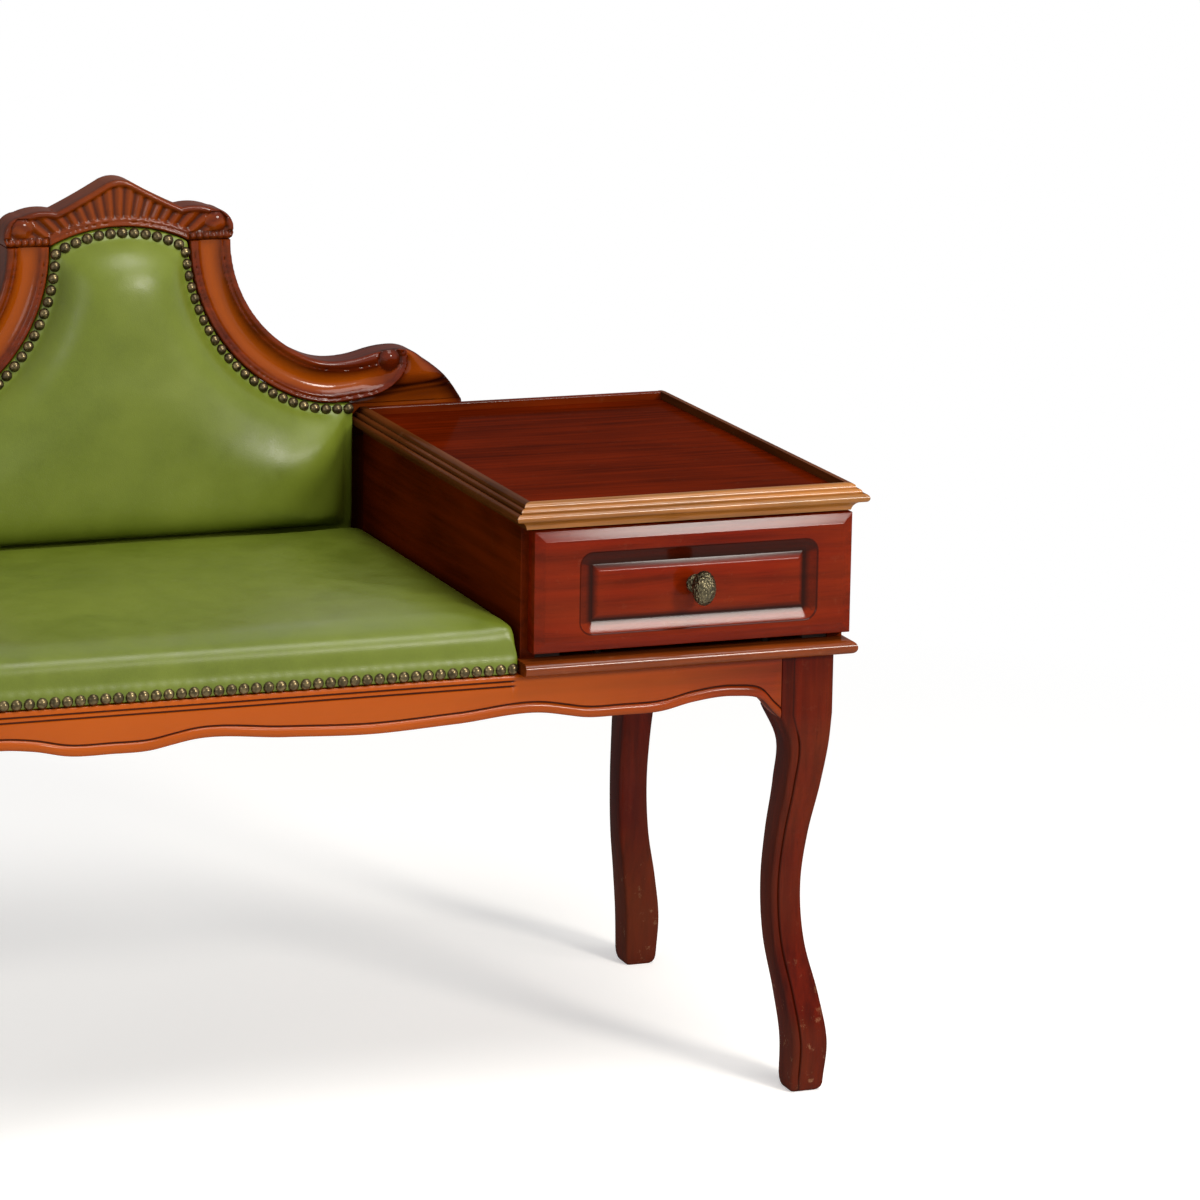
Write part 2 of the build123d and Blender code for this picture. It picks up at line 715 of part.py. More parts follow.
with BuildPart() as drawer_kickers:
    for x0, x1 in runner_sides:
        block(x0, x1, stretcher_rear + joint_gap, table_back_front, side_high + kicker_gap,
              moulding_bottom)
save(drawer_kickers.part, "drawer_kickers")

with BuildPart() as drawer_stops:
    for x0, x1 in runner_sides:
        block(x0, x1, stop_front, stop_front + stop_length, runner_top,
              runner_top + stop_height)
save(drawer_stops.part, "drawer_stops")

body_left = well_left + drawer_side_gap
body_right = well_right - drawer_side_gap
body_front = drawer_face + drawer_front_thickness
groove_low = side_low + drawer_groove_height
groove_high = groove_low + drawer_bottom_thickness
drawer_sides = {
    "drawer_side_left": (body_left, 1),
    "drawer_side_right": (body_right, -1),
}
for name, (outer, inward) in drawer_sides.items():
    with BuildPart() as drawer_side:
        block(*span(outer, inward, 0, drawer_side_thickness), body_front, drawer_rear,
              side_low, side_high)
        cut_block(*span(outer, inward, drawer_side_thickness - drawer_groove_depth,
                        drawer_side_thickness),
                  body_front, drawer_rear, groove_low - drawer_groove_gap, groove_high + drawer_groove_gap)
    save(drawer_side.part, name)

with BuildPart() as drawer_back:
    block(body_left + drawer_side_thickness, body_right - drawer_side_thickness,
          drawer_rear - drawer_side_thickness, drawer_rear, groove_high + drawer_groove_gap,
          side_high - drawer_back_drop)
save(drawer_back.part, "drawer_back")

with BuildPart() as drawer_bottom:
    block(body_left + drawer_side_thickness - drawer_groove_depth + drawer_groove_gap,
          body_right - drawer_side_thickness + drawer_groove_depth - drawer_groove_gap,
          body_front, drawer_rear, groove_low, groove_high)
save(drawer_bottom.part, "drawer_bottom")

front_left = lip_left + drawer_front_reveal
front_middle = (front_left + drawer_front_width / 2,
                base_top + drawer_front_rise + drawer_front_height / 2)
# the knob's screw lies in front_line, from its head inside the drawer into the knob
screw_outer = body_front + screw_head_height
knob_seat = drawer_face + sunk_depth - field_rise
knob_tip = drawer_face - knob_reach
screw_end = knob_tip + knob_depth * (1 - knob_screw_share)


def across(y):
    """Plane through the middle of the drawer front, facing the front, at depth y."""
    return Plane(origin=(front_middle[0], y, front_middle[1]), x_dir=(1, 0, 0), z_dir=(0, -1, 0))



with BuildPart() as drawer_front:
    with BuildSketch(front_plane(drawer_face)):
        with Locations(front_middle):
            Rectangle(drawer_front_width, drawer_front_height)
    extrude(amount=-drawer_front_thickness)
    front_edges = drawer_front.faces().sort_by(Axis.Y)[0].edges()
    chamfer(front_edges, length=bevel_depth, length2=bevel_width,
            reference=drawer_front.faces().sort_by(Axis.Y)[0])
    # sunk panel with rounded corners and a raised field in it
    with BuildSketch(front_plane(drawer_face)):
        with Locations((front_middle[0] + panel_shift_x, front_middle[1] + panel_shift_z)):
            RectangleRounded(sunk_width, sunk_height, sunk_radius)
    extrude(amount=-sunk_depth, taper=sunk_slope, mode=Mode.SUBTRACT)
    with BuildSketch(front_plane(drawer_face + sunk_depth)):
        with Locations((front_middle[0] + panel_shift_x - field_shift,
                        front_middle[1] + panel_shift_z + field_shift)):
            Rectangle(field_width, field_height)
    extrude(amount=field_rise, taper=field_slope)
    drill([across(knob_seat)], knob_screw_radius + tenon_gap, body_front - knob_seat)
save(drawer_front.part, "drawer_front")

with BuildPart() as drawer_knob:
    # rose and stem
    with BuildSketch(across(knob_seat)):
        RegularPolygon(knob_rose_radius, knob_sides)
    extrude(amount=knob_rose_height)
    with BuildSketch(across(knob_seat)):
        RegularPolygon(knob_stem_radius, knob_sides)
    extrude(amount=knob_seat - knob_tip - knob_depth + knob_overlap)
    # egg-shaped head, lofted through sections that follow an ellipse
    for turn in knob_turns:
        share = cos(radians(turn)) / 2
        with BuildSketch(across(knob_tip + knob_depth / 2 * (1 - sin(radians(turn))))):
            with BuildLine():
                Polyline(*[(knob_width * share * cos(2 * pi * side / knob_sides),
                            knob_height * share * sin(2 * pi * side / knob_sides))
                           for side in range(knob_sides)], close=True)
            make_face()
    loft(ruled=True)
    drill([across(screw_end)], knob_screw_radius + tenon_gap, knob_seat - screw_end)
save(drawer_knob.part, "drawer_knob")

with BuildPart() as knob_screw:
    screws([Plane(origin=(front_middle[0], screw_outer, front_middle[1]), z_dir=(0, 1, 0))],
           screw_head_radius, screw_head_height - joint_gap, knob_screw_radius,
           screw_outer - screw_end - joint_gap)
save(knob_screw.part, "knob_screw")

# ================================================================ back
# Each swoop's edges are two tangent arcs: a large one that leaves the crest upright and a small one
# that ends level in the valley. Their radii follow from the run and the drop between those two.
valley_run = half_back - valley_to_end
valley_level = table_height + valley_rise
run = valley_run - crest_half_width
drop = swoop_top - valley_level
turn_cos = cos(radians(swoop_turn))
turn_sin = sin(radians(swoop_turn))
determinant = (1 - turn_cos) * (1 - turn_sin) - turn_cos * turn_sin
upper_radius = (run * (1 - turn_sin) - drop * turn_cos) / determinant
lower_radius = (drop * (1 - turn_cos) - run * turn_sin) / determinant
upper_centre = (crest_half_width + upper_radius, swoop_top)
lower_centre = (valley_run, valley_level + lower_radius)


def round_about(centre, radius, degrees):
    """Point on a circle, by its angle below the level line that points to the bench's middle."""
    return (centre[0] - radius * cos(radians(degrees)), centre[1] - radius * sin(radians(degrees)))


def swoop_points(inside, top_angle=0.0, valley_angle=90.0):
    """Start, middle and end of the two arcs of an edge that lies inside the outer edge."""
    upper = [round_about(upper_centre, upper_radius + inside, angle)
             for angle in (top_angle, (top_angle + swoop_turn) / 2, swoop_turn)]
    lower = [round_about(lower_centre, lower_radius + inside, angle)
             for angle in (swoop_turn, (swoop_turn + valley_angle) / 2, valley_angle)]
    return upper, lower


def on_back(side, point):
    """Place of a point given from the middle of the back, on its right (1) or left (-1) side."""
    return (back_centre + side * point[0], point[1])


def arcs_on_back(side, upper, lower):
    """The two arcs through the points, on one side of the back."""
    ThreePointArc(*[on_back(side, point) for point in upper])
    ThreePointArc(*[on_back(side, point) for point in lower])


pad_low = seat_rail_top + pad_rise
board_front = legs_rear - board_thickness
wing_bottom = table_height + 0.3


def pad_outline(plane, inset, low):
    """Outline of the upholstered field, drawn in by the inset."""
    valley_shift = pad_draw * inset
    inside = band_width + inset
    top_angle = degrees(asin(inset / (upper_radius + inside)))
    valley_angle = 90.0 - degrees(asin(valley_shift / (lower_radius + inside)))
    upper, lower = swoop_points(inside, top_angle, valley_angle)
    left, right = pad_left + inset, pad_right - inset
    with BuildSketch(plane) as outline:
        with BuildLine():
            level = lower[2][1]
            arcs_on_back(1, upper, lower)
            arcs_on_back(-1, upper, lower)
            ThreePointArc(on_back(1, upper[0]), (back_centre, upper[0][1] + arch_rise),
                          on_back(-1, upper[0]))
            Polyline(on_back(1, lower[2]), (right, level), (right, low), (left, low), (left, level),
                     on_back(-1, lower[2]))
        make_face()
    return outline.sketch.face()


with BuildPart() as back_board:
    extrude(pad_outline(front_plane(board_front), joint_gap, pad_low - board_drop), amount=-board_thickness)
save(back_board.part, "back_board")

with BuildPart() as outer_back_panel:
    extrude(pad_outline(front_plane(back_rear - outer_panel_thickness), joint_gap, pad_low - board_drop),
            amount=-outer_panel_thickness)
save(outer_back_panel.part, "outer_back_panel")

pad_front = board_front - soft_gap


def pad_faces(skin):
    """Sections of the padding, from the board to the crown, all drawn in by a skin."""
    sections = ((skin, pad_root), *pad_sections[3:])
    return [pad_outline(front_plane(pad_front - depth + skin), inset + skin,
                        pad_low + pad_low_draw * inset + skin)
            for depth, inset in sections]


with BuildPart() as back_foam:
    loft(pad_faces(cover_thickness + soft_gap), ruled=True)
save(back_foam.part, "back_foam")

with BuildPart() as back_cover:
    loft([pad_outline(front_plane(pad_front - depth), inset, pad_low + pad_low_draw * inset)
          for depth, inset in pad_sections], ruled=True)
    loft(pad_faces(cover_thickness), ruled=True, mode=Mode.SUBTRACT)
save(back_cover.part, "back_cover")

# The nails follow the edge of the upholstery, from the table over the arch and down the left post.
lowest_nail = pad_low + lowest_nail_rise
nail_radius_above = upper_radius + band_width + nail_inset
upper, lower = swoop_points(band_width + nail_inset, degrees(asin(nail_inset / nail_radius_above)))
with BuildLine() as nail_path:
    low_right = (pad_right - nail_inset, lower[2][1])
    Line((pad_left + nail_inset, lowest_nail), (pad_left + nail_inset, lower[2][1]))
    Line((pad_left + nail_inset, lower[2][1]), on_back(-1, lower[2]))
    arcs_on_back(-1, upper, lower)
    ThreePointArc(on_back(-1, upper[0]), (back_centre, upper[0][1] + arch_rise), on_back(1, upper[0]))
    arcs_on_back(1, upper, lower)
    Line(on_back(1, lower[2]), low_right)
path = nail_path.wire()
nail_face = pad_front - cover_thickness - nail_sink
back_row = [path.position_at(step / path.length) for step in even_steps(path.length, nail_spacing)]
with BuildPart() as back_nails:
    nail_row([(point.X, nail_face, point.Y) for point in back_row], (0, -1, 0))
save(back_nails.part, "back_nails")

# Swoops: a moulded band that ends in a scroll, with a leaf-shaped wing behind the scroll.
scroll_top = (half_back - scroll_to_end, table_height + scroll_rise)
eye = (half_back - eye_to_end, table_height + eye_rise)
rise_turn = 2 * atan2(scroll_top[1] - valley_level, scroll_top[0] - valley_run)
rise_radius = (scroll_top[0] - valley_run) / (2 * sin(rise_turn))
rise_middle = ((valley_run + scroll_top[0]) / 2, (valley_level + scroll_top[1]) / 2)
rise_low = (valley_run + rise_radius * sin(rise_turn / 2),
            valley_level + rise_radius * (1 - cos(rise_turn / 2)))
rise_high = (scroll_top[0] - rise_radius * sin(rise_turn / 2),
             scroll_top[1] - rise_radius * (1 - cos(rise_turn / 2)))
nose_end = (scroll_top[0] + scroll_nose * sin(nose_turn),
            scroll_top[1] - scroll_nose * (1 - cos(nose_turn)))
nose_middle = (scroll_top[0] + scroll_nose * sin(nose_turn / 2),
               scroll_top[1] - scroll_nose * (1 - cos(nose_turn / 2)))
leaf_middle = (half_back + leaf_shift[0], table_height + leaf_shift[1])
leaf_end = (half_back, wing_bottom + 1.0)
wing_foot = {1: table_height - wing_drop, -1: wing_bottom}
wing_setback = {1: lip_rear + 2 * joint_gap - back_front, -1: left_wing_setback}
outer_upper, outer_lower = swoop_points(0.0)
inner_upper, inner_lower = swoop_points(band_width)
foot_runs = {1: pad_right + joint_gap - back_centre, -1: back_centre - pad_left}


def rod_planes(places, level):
    """Upright dowels' upper ends, for places along the back and a joint's level."""
    return [Plane(origin=(x, back_rear - dowel_inset, level + dowel_length / 2), z_dir=(0, 0, 1))
            for x in places]


crest_joint = crest_half_width - band_width / 2
crest_dowels = rod_planes([back_centre + side * (crest_joint + shift)
                           for side in (-1, 1)
                           for shift in (-crest_dowel_shift, crest_dowel_shift)], swoop_top)
left_dowels = rod_planes([frame_left + shift for shift in left_dowel_shifts], wing_bottom)
right_dowels = rod_planes([pad_right - shift for shift in right_dowel_shifts], inner_lower[2][1])
dowel_planes = crest_dowels + left_dowels + right_dowels
dowel_hole = dowel_radius + tenon_gap

for side, name in ((-1, "back_swoop_left"), (1, "back_swoop_right")):
    foot_run = foot_runs[side]
    foot = wing_foot[side]
    with BuildPart() as swoop:
        with BuildSketch(front_plane(back_front)):
            with BuildLine():
                arcs_on_back(side, outer_upper, outer_lower)
                ThreePointArc(on_back(side, outer_lower[2]), on_back(side, rise_low),
                              on_back(side, rise_middle))
                ThreePointArc(on_back(side, rise_middle), on_back(side, rise_high),
                              on_back(side, scroll_top))
                ThreePointArc(on_back(side, scroll_top), on_back(side, nose_middle),
                              on_back(side, nose_end))
                ThreePointArc(on_back(side, nose_end), on_back(side, leaf_middle),
                              on_back(side, leaf_end))
                Polyline(on_back(side, leaf_end), on_back(side, (half_back, foot)),
                         on_back(side, (foot_run, foot)), on_back(side, (foot_run, inner_lower[2][1])),
                         on_back(side, inner_lower[2]))
                arcs_on_back(side, inner_upper, inner_lower)
                Line(on_back(side, inner_upper[0]), on_back(side, outer_upper[0]))
            make_face()
        extrude(amount=-back_thickness)
        # the leaf stands back behind the scroll, and on the right behind the rim of the table
        with BuildSketch(front_plane(back_front)) as leaf_field:
            with BuildLine():
                edge = Spline(*[on_back(side, (eye[0] + x, eye[1] + z)) for x, z in scroll_edge])
                beyond = half_back + 1
                Polyline(edge @ 1, on_back(side, (eye[0] + scroll_edge[-1][0], scroll_top[1] + 5)),
                         on_back(side, (beyond, scroll_top[1] + 5)), on_back(side, (beyond, foot - 1)),
                         on_back(side, (eye[0] + scroll_edge[0][0] - 8, foot - 1)),
                         on_back(side, (eye[0] + scroll_edge[0][0] - 8, eye[1] + scroll_edge[0][1])),
                         edge @ 0)
            make_face()
        extrude(leaf_field.sketch, amount=-wing_setback[side], mode=Mode.SUBTRACT)
        # a cove between the two edge mouldings runs down the band and into the scroll
        cove_upper, cove_lower = swoop_points(band_width / 2)
        cove_end = (eye[0] + cove_end_shift[0], eye[1] + cove_end_shift[1])
        cove_middle = ((cove_lower[2][0] + cove_end[0]) / 2, cove_lower[2][1] + 1.0)
        with BuildLine(front_plane(back_front - cove_radius + cove_depth)) as cove_path:
            arcs_on_back(side, cove_upper, cove_lower)
            ThreePointArc(on_back(side, cove_lower[2]), on_back(side, cove_middle),
                          on_back(side, cove_end))
        with BuildSketch(Plane(origin=cove_path.wire() @ 0, z_dir=(0, 0, -1))) as cove_section:
            RegularPolygon(cove_radius, cove_sides)
        sweep(cove_section.sketch, path=cove_path.wire(), mode=Mode.SUBTRACT)
        pocket_faces = []
        for depth, reach in ((0.0, cove_end_radii[0]), (cove_depth, cove_end_radii[1])):
            with BuildSketch(front_plane(back_front + depth)) as pocket:
                with Locations(on_back(side, cove_end)):
                    RegularPolygon(reach, cove_sides)
            pocket_faces.append(pocket.sketch.face())
        loft(pocket_faces, ruled=True, mode=Mode.SUBTRACT)
        # ring-shaped groove round the eye of the scroll
        with BuildSketch(front_plane(back_front)) as ring:
            with Locations(on_back(side, eye)):
                Circle(eye_radius + ring_width)
                Circle(eye_radius, mode=Mode.SUBTRACT)
        extrude(ring.sketch, amount=-ring_depth, mode=Mode.SUBTRACT)
        drill(dowel_planes, dowel_hole, dowel_length + tenon_gap)
    save(swoop.part, name)

# Crest between the swoops, arched below, with a lobe at each end and a raised middle.
crest_ends = [(crest_half_width + x, swoop_top + z) for x, z in (lobe_side, lobe_top, dip_side, dip)]
shoulders = [(x, back_height + z) for x, z in (shoulder_side, shoulder)]
with BuildPart() as back_crest:
    with BuildSketch(front_plane(back_front)):
        with BuildLine():
            for side in (1, -1):
                Line(on_back(side, inner_upper[0]), on_back(side, outer_upper[0]))
                outline = [on_back(side, point) for point in (outer_upper[0], *crest_ends, *shoulders)]
                for first in (0, 2, 4):
                    ThreePointArc(*outline[first:first + 3])
            ThreePointArc(on_back(1, shoulders[1]), (back_centre, back_height),
                          on_back(-1, shoulders[1]))
            ThreePointArc(on_back(1, inner_upper[0]), (back_centre, swoop_top + arch_rise),
                          on_back(-1, inner_upper[0]))
        make_face()
    extrude(amount=-back_thickness)
    drill([plane.offset(tenon_gap) for plane in crest_dowels], dowel_hole, dowel_length)
save(back_crest.part, "back_crest")

with BuildPart() as back_dowels:
    screws(dowel_planes, dowel_radius, dowel_length, dowel_radius, dowel_length)
save(back_dowels.part, "back_dowels")

# ================================================================ posts and lower rail of the back
post_foot = seat_rail_top - post_drop
with BuildPart() as back_post_left:
    block(frame_left, pad_left, back_front, back_rear, seat_rail_top + joint_gap,
          wing_bottom - joint_gap)
    block(frame_left, pad_left, legs_rear + joint_gap, back_rear, post_foot, seat_rail_top + joint_gap)
    upper_front = back_post_left.edges().filter_by(Axis.X).group_by(Axis.Z)[-1].sort_by(Axis.Y)[0]
    chamfer(upper_front, length=left_wing_setback)
    drill(left_bolt_planes, bolt_radius + tenon_gap, bolt_length)
    drill([plane.offset(bolt_sink) for plane in left_bolt_planes], bolt_head_radius + tenon_gap,
          bolt_sink + bolt_head_height + tenon_gap)
    drill(left_dowels, dowel_hole, dowel_length + tenon_gap)
save(back_post_left.part, "back_post_left")

frame_front = legs_rear + joint_gap
frame_rear = back_rear - outer_panel_thickness - joint_gap
with BuildPart() as back_post_right:
    block(right_post_left, pad_right, frame_front, frame_rear, post_foot,
          inner_lower[2][1] - joint_gap)
    # below the moulding the post also covers the gap between the back and the table box
    block(pad_right, box_left + post_cover, frame_front, frame_rear, post_foot,
          moulding_bottom - cove_height - joint_gap)
    drill(right_bolt_planes, bolt_radius + tenon_gap, bolt_length)
    drill([plane.offset(bolt_sink) for plane in right_bolt_planes], bolt_head_radius + tenon_gap,
          bolt_sink + bolt_head_height + tenon_gap)
    drill(right_dowels, dowel_hole, dowel_length + tenon_gap)
save(back_post_right.part, "back_post_right")

with BuildPart() as back_bolts:
    screws(left_bolt_planes + right_bolt_planes, bolt_head_radius, bolt_head_height, bolt_radius,
           bolt_length)
save(back_bolts.part, "back_bolts")

with BuildPart() as back_lower_rail:
    block(pad_left + joint_gap, right_post_left - joint_gap, frame_front, frame_rear,
          seat_rail_top + lower_rail_rise, seat_rail_top + lower_rail_rise + lower_rail_height)
save(back_lower_rail.part, "back_lower_rail")
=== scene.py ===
from math import atan2, cos, pi, radians, sin, sqrt

import bmesh
import bpy
import numpy as np
from mathutils import Matrix, Vector


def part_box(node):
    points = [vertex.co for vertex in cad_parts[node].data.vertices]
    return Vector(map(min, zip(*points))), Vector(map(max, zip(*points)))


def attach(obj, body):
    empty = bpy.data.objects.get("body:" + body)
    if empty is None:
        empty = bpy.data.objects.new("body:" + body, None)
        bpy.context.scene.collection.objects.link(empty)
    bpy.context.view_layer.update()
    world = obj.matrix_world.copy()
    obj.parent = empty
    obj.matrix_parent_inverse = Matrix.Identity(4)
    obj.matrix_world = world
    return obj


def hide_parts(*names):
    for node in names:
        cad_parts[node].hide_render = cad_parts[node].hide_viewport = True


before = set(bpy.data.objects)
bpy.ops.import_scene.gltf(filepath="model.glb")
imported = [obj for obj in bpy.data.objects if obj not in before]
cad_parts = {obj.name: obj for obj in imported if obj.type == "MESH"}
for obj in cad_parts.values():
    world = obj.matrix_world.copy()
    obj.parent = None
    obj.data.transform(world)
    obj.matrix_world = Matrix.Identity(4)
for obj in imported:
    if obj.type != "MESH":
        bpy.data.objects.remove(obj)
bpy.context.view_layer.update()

bl_info = {
    "name": "Telephone bench",
    "version": (1, 0, 0),
    "blender": (4, 5, 0),
    "location": "View3D > Sidebar > Bench",
    "description": "Shapes and finishes of an upholstered telephone bench with a small drawer table",
    "category": "Object",
}

MM = 0.001

# Places in the bench's frame, in millimetres.
FRAME_LEFT, FRAME_RIGHT = -449.6, 428.2
LEGS_FRONT, LEGS_REAR = -220.9, 237.1
RAIL_TOP = 414.0
LIP_LEFT = 127.9
BACK_CENTRE, BACK_FRONT, BACK_REAR = -112.35, 223.6, 259.6
PAD_FACE = 224.7


# ---------------------------------------------------------------- sizes and colours
class BenchSizes(bpy.types.PropertyGroup):
    """Sizes of the worked and upholstered surfaces"""
    leg_ease: bpy.props.FloatProperty(
        name="Leg easing", description="Radius of the four edges of a leg",
        default=2.8 * MM, unit="LENGTH")
    leg_groove: bpy.props.FloatProperty(
        name="Leg groove", description="Depth of the fine groove down the faces of a leg",
        default=1.5 * MM, unit="LENGTH")
    bead: bpy.props.FloatProperty(
        name="Apron bead", description="Width of the bead along the apron's lower edge",
        default=9.0 * MM, unit="LENGTH")
    carving_voxel: bpy.props.FloatProperty(
        name="Carving resolution", description="Mesh size of the carved pieces of the back",
        default=1.3 * MM, unit="LENGTH")
    cove_depth: bpy.props.FloatProperty(
        name="Cove depth", description="Depth of the hollow in the bands of the back",
        default=4.6 * MM, unit="LENGTH")
    nail_radius: bpy.props.FloatProperty(
        name="Nail radius", description="Radius of an upholstery nail's head",
        default=5.4 * MM, unit="LENGTH")
    nail_height: bpy.props.FloatProperty(
        name="Nail height", description="Height of an upholstery nail's head",
        default=4.3 * MM, unit="LENGTH")
    seat_swell: bpy.props.FloatProperty(
        name="Seat swell", description="How far the seat's padding may push its cover out",
        default=3.0 * MM, unit="LENGTH")
    back_swell: bpy.props.FloatProperty(
        name="Back swell", description="How far the back's padding may push its cover out",
        default=3.0 * MM, unit="LENGTH")


class BenchColours(bpy.types.PropertyGroup):
    """Colours of the finishes"""
    mahogany: bpy.props.FloatVectorProperty(
        name="Mahogany", description="Polished red-brown wood", subtype="COLOR",
        default=(0.150, 0.0085, 0.0006))
    # the light mahogany is also the tone of the painted highlight in coves and on raised carving
    mahogany_light: bpy.props.FloatVectorProperty(
        name="Light mahogany", description="Orange-brown wood of the aprons and hollows",
        subtype="COLOR", default=(0.440, 0.086, 0.0030))
    # the patina colour is also the colour of the painted shade laid into recesses and onto side faces
    patina_and_shade: bpy.props.FloatVectorProperty(
        name="Patina", description="Dark polish that lies in grooves and grain", subtype="COLOR",
        default=(0.016, 0.0030, 0.0010))
    leather: bpy.props.FloatVectorProperty(
        name="Leather", description="Green leather of the seat and back", subtype="COLOR",
        default=(0.118, 0.156, 0.0120))
    leather_light: bpy.props.FloatVectorProperty(
        name="Light leather", description="Rubbed places of the leather", subtype="COLOR",
        default=(0.168, 0.210, 0.0240))
    brass: bpy.props.FloatVectorProperty(
        name="Brass", description="Antique brass of the nails and the knob", subtype="COLOR",
        default=(0.165, 0.124, 0.057))
    plain_wood: bpy.props.FloatVectorProperty(
        name="Plain wood", description="Unpolished wood inside", subtype="COLOR",
        default=(0.420, 0.250, 0.115))
    floor: bpy.props.FloatVectorProperty(
        name="Floor", description="Plain pale floor", subtype="COLOR", default=(0.80, 0.79, 0.77))


def sizes():
    return bpy.context.scene.bench_sizes


def colours():
    return bpy.context.scene.bench_colours


# ---------------------------------------------------------------- hand tools
def clear():
    """Leave edit mode and select nothing."""
    if bpy.context.object and bpy.context.object.mode != "OBJECT":
        bpy.ops.object.mode_set(mode="OBJECT")
    bpy.ops.object.select_all(action="DESELECT")


def choose(piece):
    """Select one piece alone."""
    clear()
    piece.select_set(True)
    bpy.context.view_layer.objects.active = piece


def name_it(piece, name):
    piece.name = name
    piece.data.name = name
    return piece


def apply_modifier(piece, kind, **settings):
    """Add a modifier to a piece and apply it."""
    choose(piece)
    modifier = piece.modifiers.new(kind.title(), kind)
    for key, value in settings.items():
        setattr(modifier, key, value)
    bpy.ops.object.modifier_apply(modifier=modifier.name)


def edit(piece):
    """Enter edit mode with everything selected."""
    choose(piece)
    bpy.ops.object.mode_set(mode="EDIT")
    bpy.ops.mesh.select_mode(type="FACE")
    bpy.ops.mesh.select_all(action="SELECT")


def shade(piece, angle=35.0):
    choose(piece)
    bpy.ops.object.shade_smooth_by_angle(angle=radians(angle))


def skin(name, rows):
    """A tube with filled ends, as a grid laid over closed rows of points in millimetres."""
    rows = np.array(rows, float) * MM
    rows = np.concatenate([rows, rows[:, :1]], axis=1)
    along, around = rows.shape[:2]
    clear()
    bpy.ops.mesh.primitive_grid_add(x_subdivisions=around - 1, y_subdivisions=along - 1, size=1)
    piece = name_it(bpy.context.object, name)
    start = np.zeros(along * around * 3)
    piece.data.vertices.foreach_get("co", start)
    start = start.reshape(-1, 3)
    column = np.rint((start[:, 0] + 0.5) * (around - 1)).astype(int)
    line = np.rint((start[:, 1] + 0.5) * (along - 1)).astype(int)
    piece.data.vertices.foreach_set("co", rows[line, column].ravel())
    bpy.ops.object.mode_set(mode="EDIT")
    bpy.ops.mesh.select_all(action="SELECT")
    bpy.ops.mesh.remove_doubles(threshold=1e-6)
    bpy.ops.mesh.fill_holes(sides=0)
    bpy.ops.mesh.normals_make_consistent(inside=False)
    bpy.ops.object.mode_set(mode="OBJECT")
    return piece


def board(name, outline, front, rear):
    """A flat outline of (x, z) points given a thickness, in millimetres."""
    clear()
    bpy.ops.mesh.primitive_circle_add(vertices=len(outline), fill_type="NGON")
    piece = name_it(bpy.context.object, name)
    for vertex, (x, z) in zip(piece.data.vertices, outline):
        vertex.co = (x * MM, front * MM, z * MM)
    bpy.ops.object.mode_set(mode="EDIT")
    bpy.ops.mesh.select_all(action="SELECT")
    bpy.ops.mesh.extrude_region_move(TRANSFORM_OT_translate={"value": (0, (rear - front) * MM, 0)})
    bpy.ops.mesh.select_all(action="SELECT")
    bpy.ops.mesh.quads_convert_to_tris()
    bpy.ops.mesh.normals_make_consistent(inside=False)
    bpy.ops.object.mode_set(mode="OBJECT")
    return piece


def copies_of(name, *nodes):
    """The merged copies of CAD nodes, joined in one new piece."""
    copies = []
    for node in nodes:
        copy = bpy.data.objects.new(name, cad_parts[node].data.copy())
        bpy.context.collection.objects.link(copy)
        copy.data.materials.clear()
        copies.append(copy)
    clear()
    for copy in copies:
        copy.select_set(True)
    bpy.context.view_layer.objects.active = copies[0]
    if len(copies) > 1:
        bpy.ops.object.join()
    piece = name_it(copies[0], name)
    edit(piece)
    bpy.ops.mesh.remove_doubles(threshold=1e-6)
    bpy.ops.object.mode_set(mode="OBJECT")
    return piece


def points_of(piece):
    """Places of a piece's points, in metres."""
    flat = np.zeros(len(piece.data.vertices) * 3)
    piece.data.vertices.foreach_get("co", flat)
    return flat.reshape(-1, 3)


def set_points(piece, points):
    piece.data.vertices.foreach_set("co", points.ravel())
    piece.data.update()


def clamp(values):
    """Values held between 0 and 1."""
    return np.clip(values, 0, 1)


def smooth_line(points, count):
    """Points along a smooth curve that runs through the given ones."""
    points = np.array(points, float)
    steps = np.sqrt(((points[1:] - points[:-1]) ** 2).sum(1))
    places = np.concatenate([[0.0], np.cumsum(steps)])
    slopes = np.gradient(points, places, axis=0)
    wanted = np.linspace(0, places[-1], count)
    first = np.clip(np.searchsorted(places, wanted, side="right") - 1, 0, len(steps) - 1)
    length = steps[first][:, None]
    t = ((wanted - places[first]) / steps[first])[:, None]
    from_here = (2 * t**3 - 3 * t**2 + 1) * points[first] + (t**3 - 2 * t**2 + t) * slopes[first] * length
    to_there = (3 * t**2 - 2 * t**3) * points[first + 1] + (t**3 - t**2) * slopes[first + 1] * length
    return from_here + to_there


def arc_through(a, b, c, count):
    """Points on the circle through three points, from the first to the last."""
    (ax, ay), (bx, by), (cx, cy) = a, b, c
    d = 2 * (ax * (by - cy) + bx * (cy - ay) + cx * (ay - by))
    a2, b2, c2 = ax * ax + ay * ay, bx * bx + by * by, cx * cx + cy * cy
    x = (a2 * (by - cy) + b2 * (cy - ay) + c2 * (ay - by)) / d
    y = (a2 * (cx - bx) + b2 * (ax - cx) + c2 * (bx - ax)) / d
    start, middle, end = [atan2(q - y, p - x) for p, q in (a, b, c)]
    if (middle - start) % (2 * pi) > (end - start) % (2 * pi):
        turn = -((start - end) % (2 * pi))
    else:
        turn = (end - start) % (2 * pi)
    radius = sqrt((ax - x) ** 2 + (ay - y) ** 2)
    turns = [start + turn * i / (count - 1) for i in range(count)]
    return [(x + radius * cos(a), y + radius * sin(a)) for a in turns]


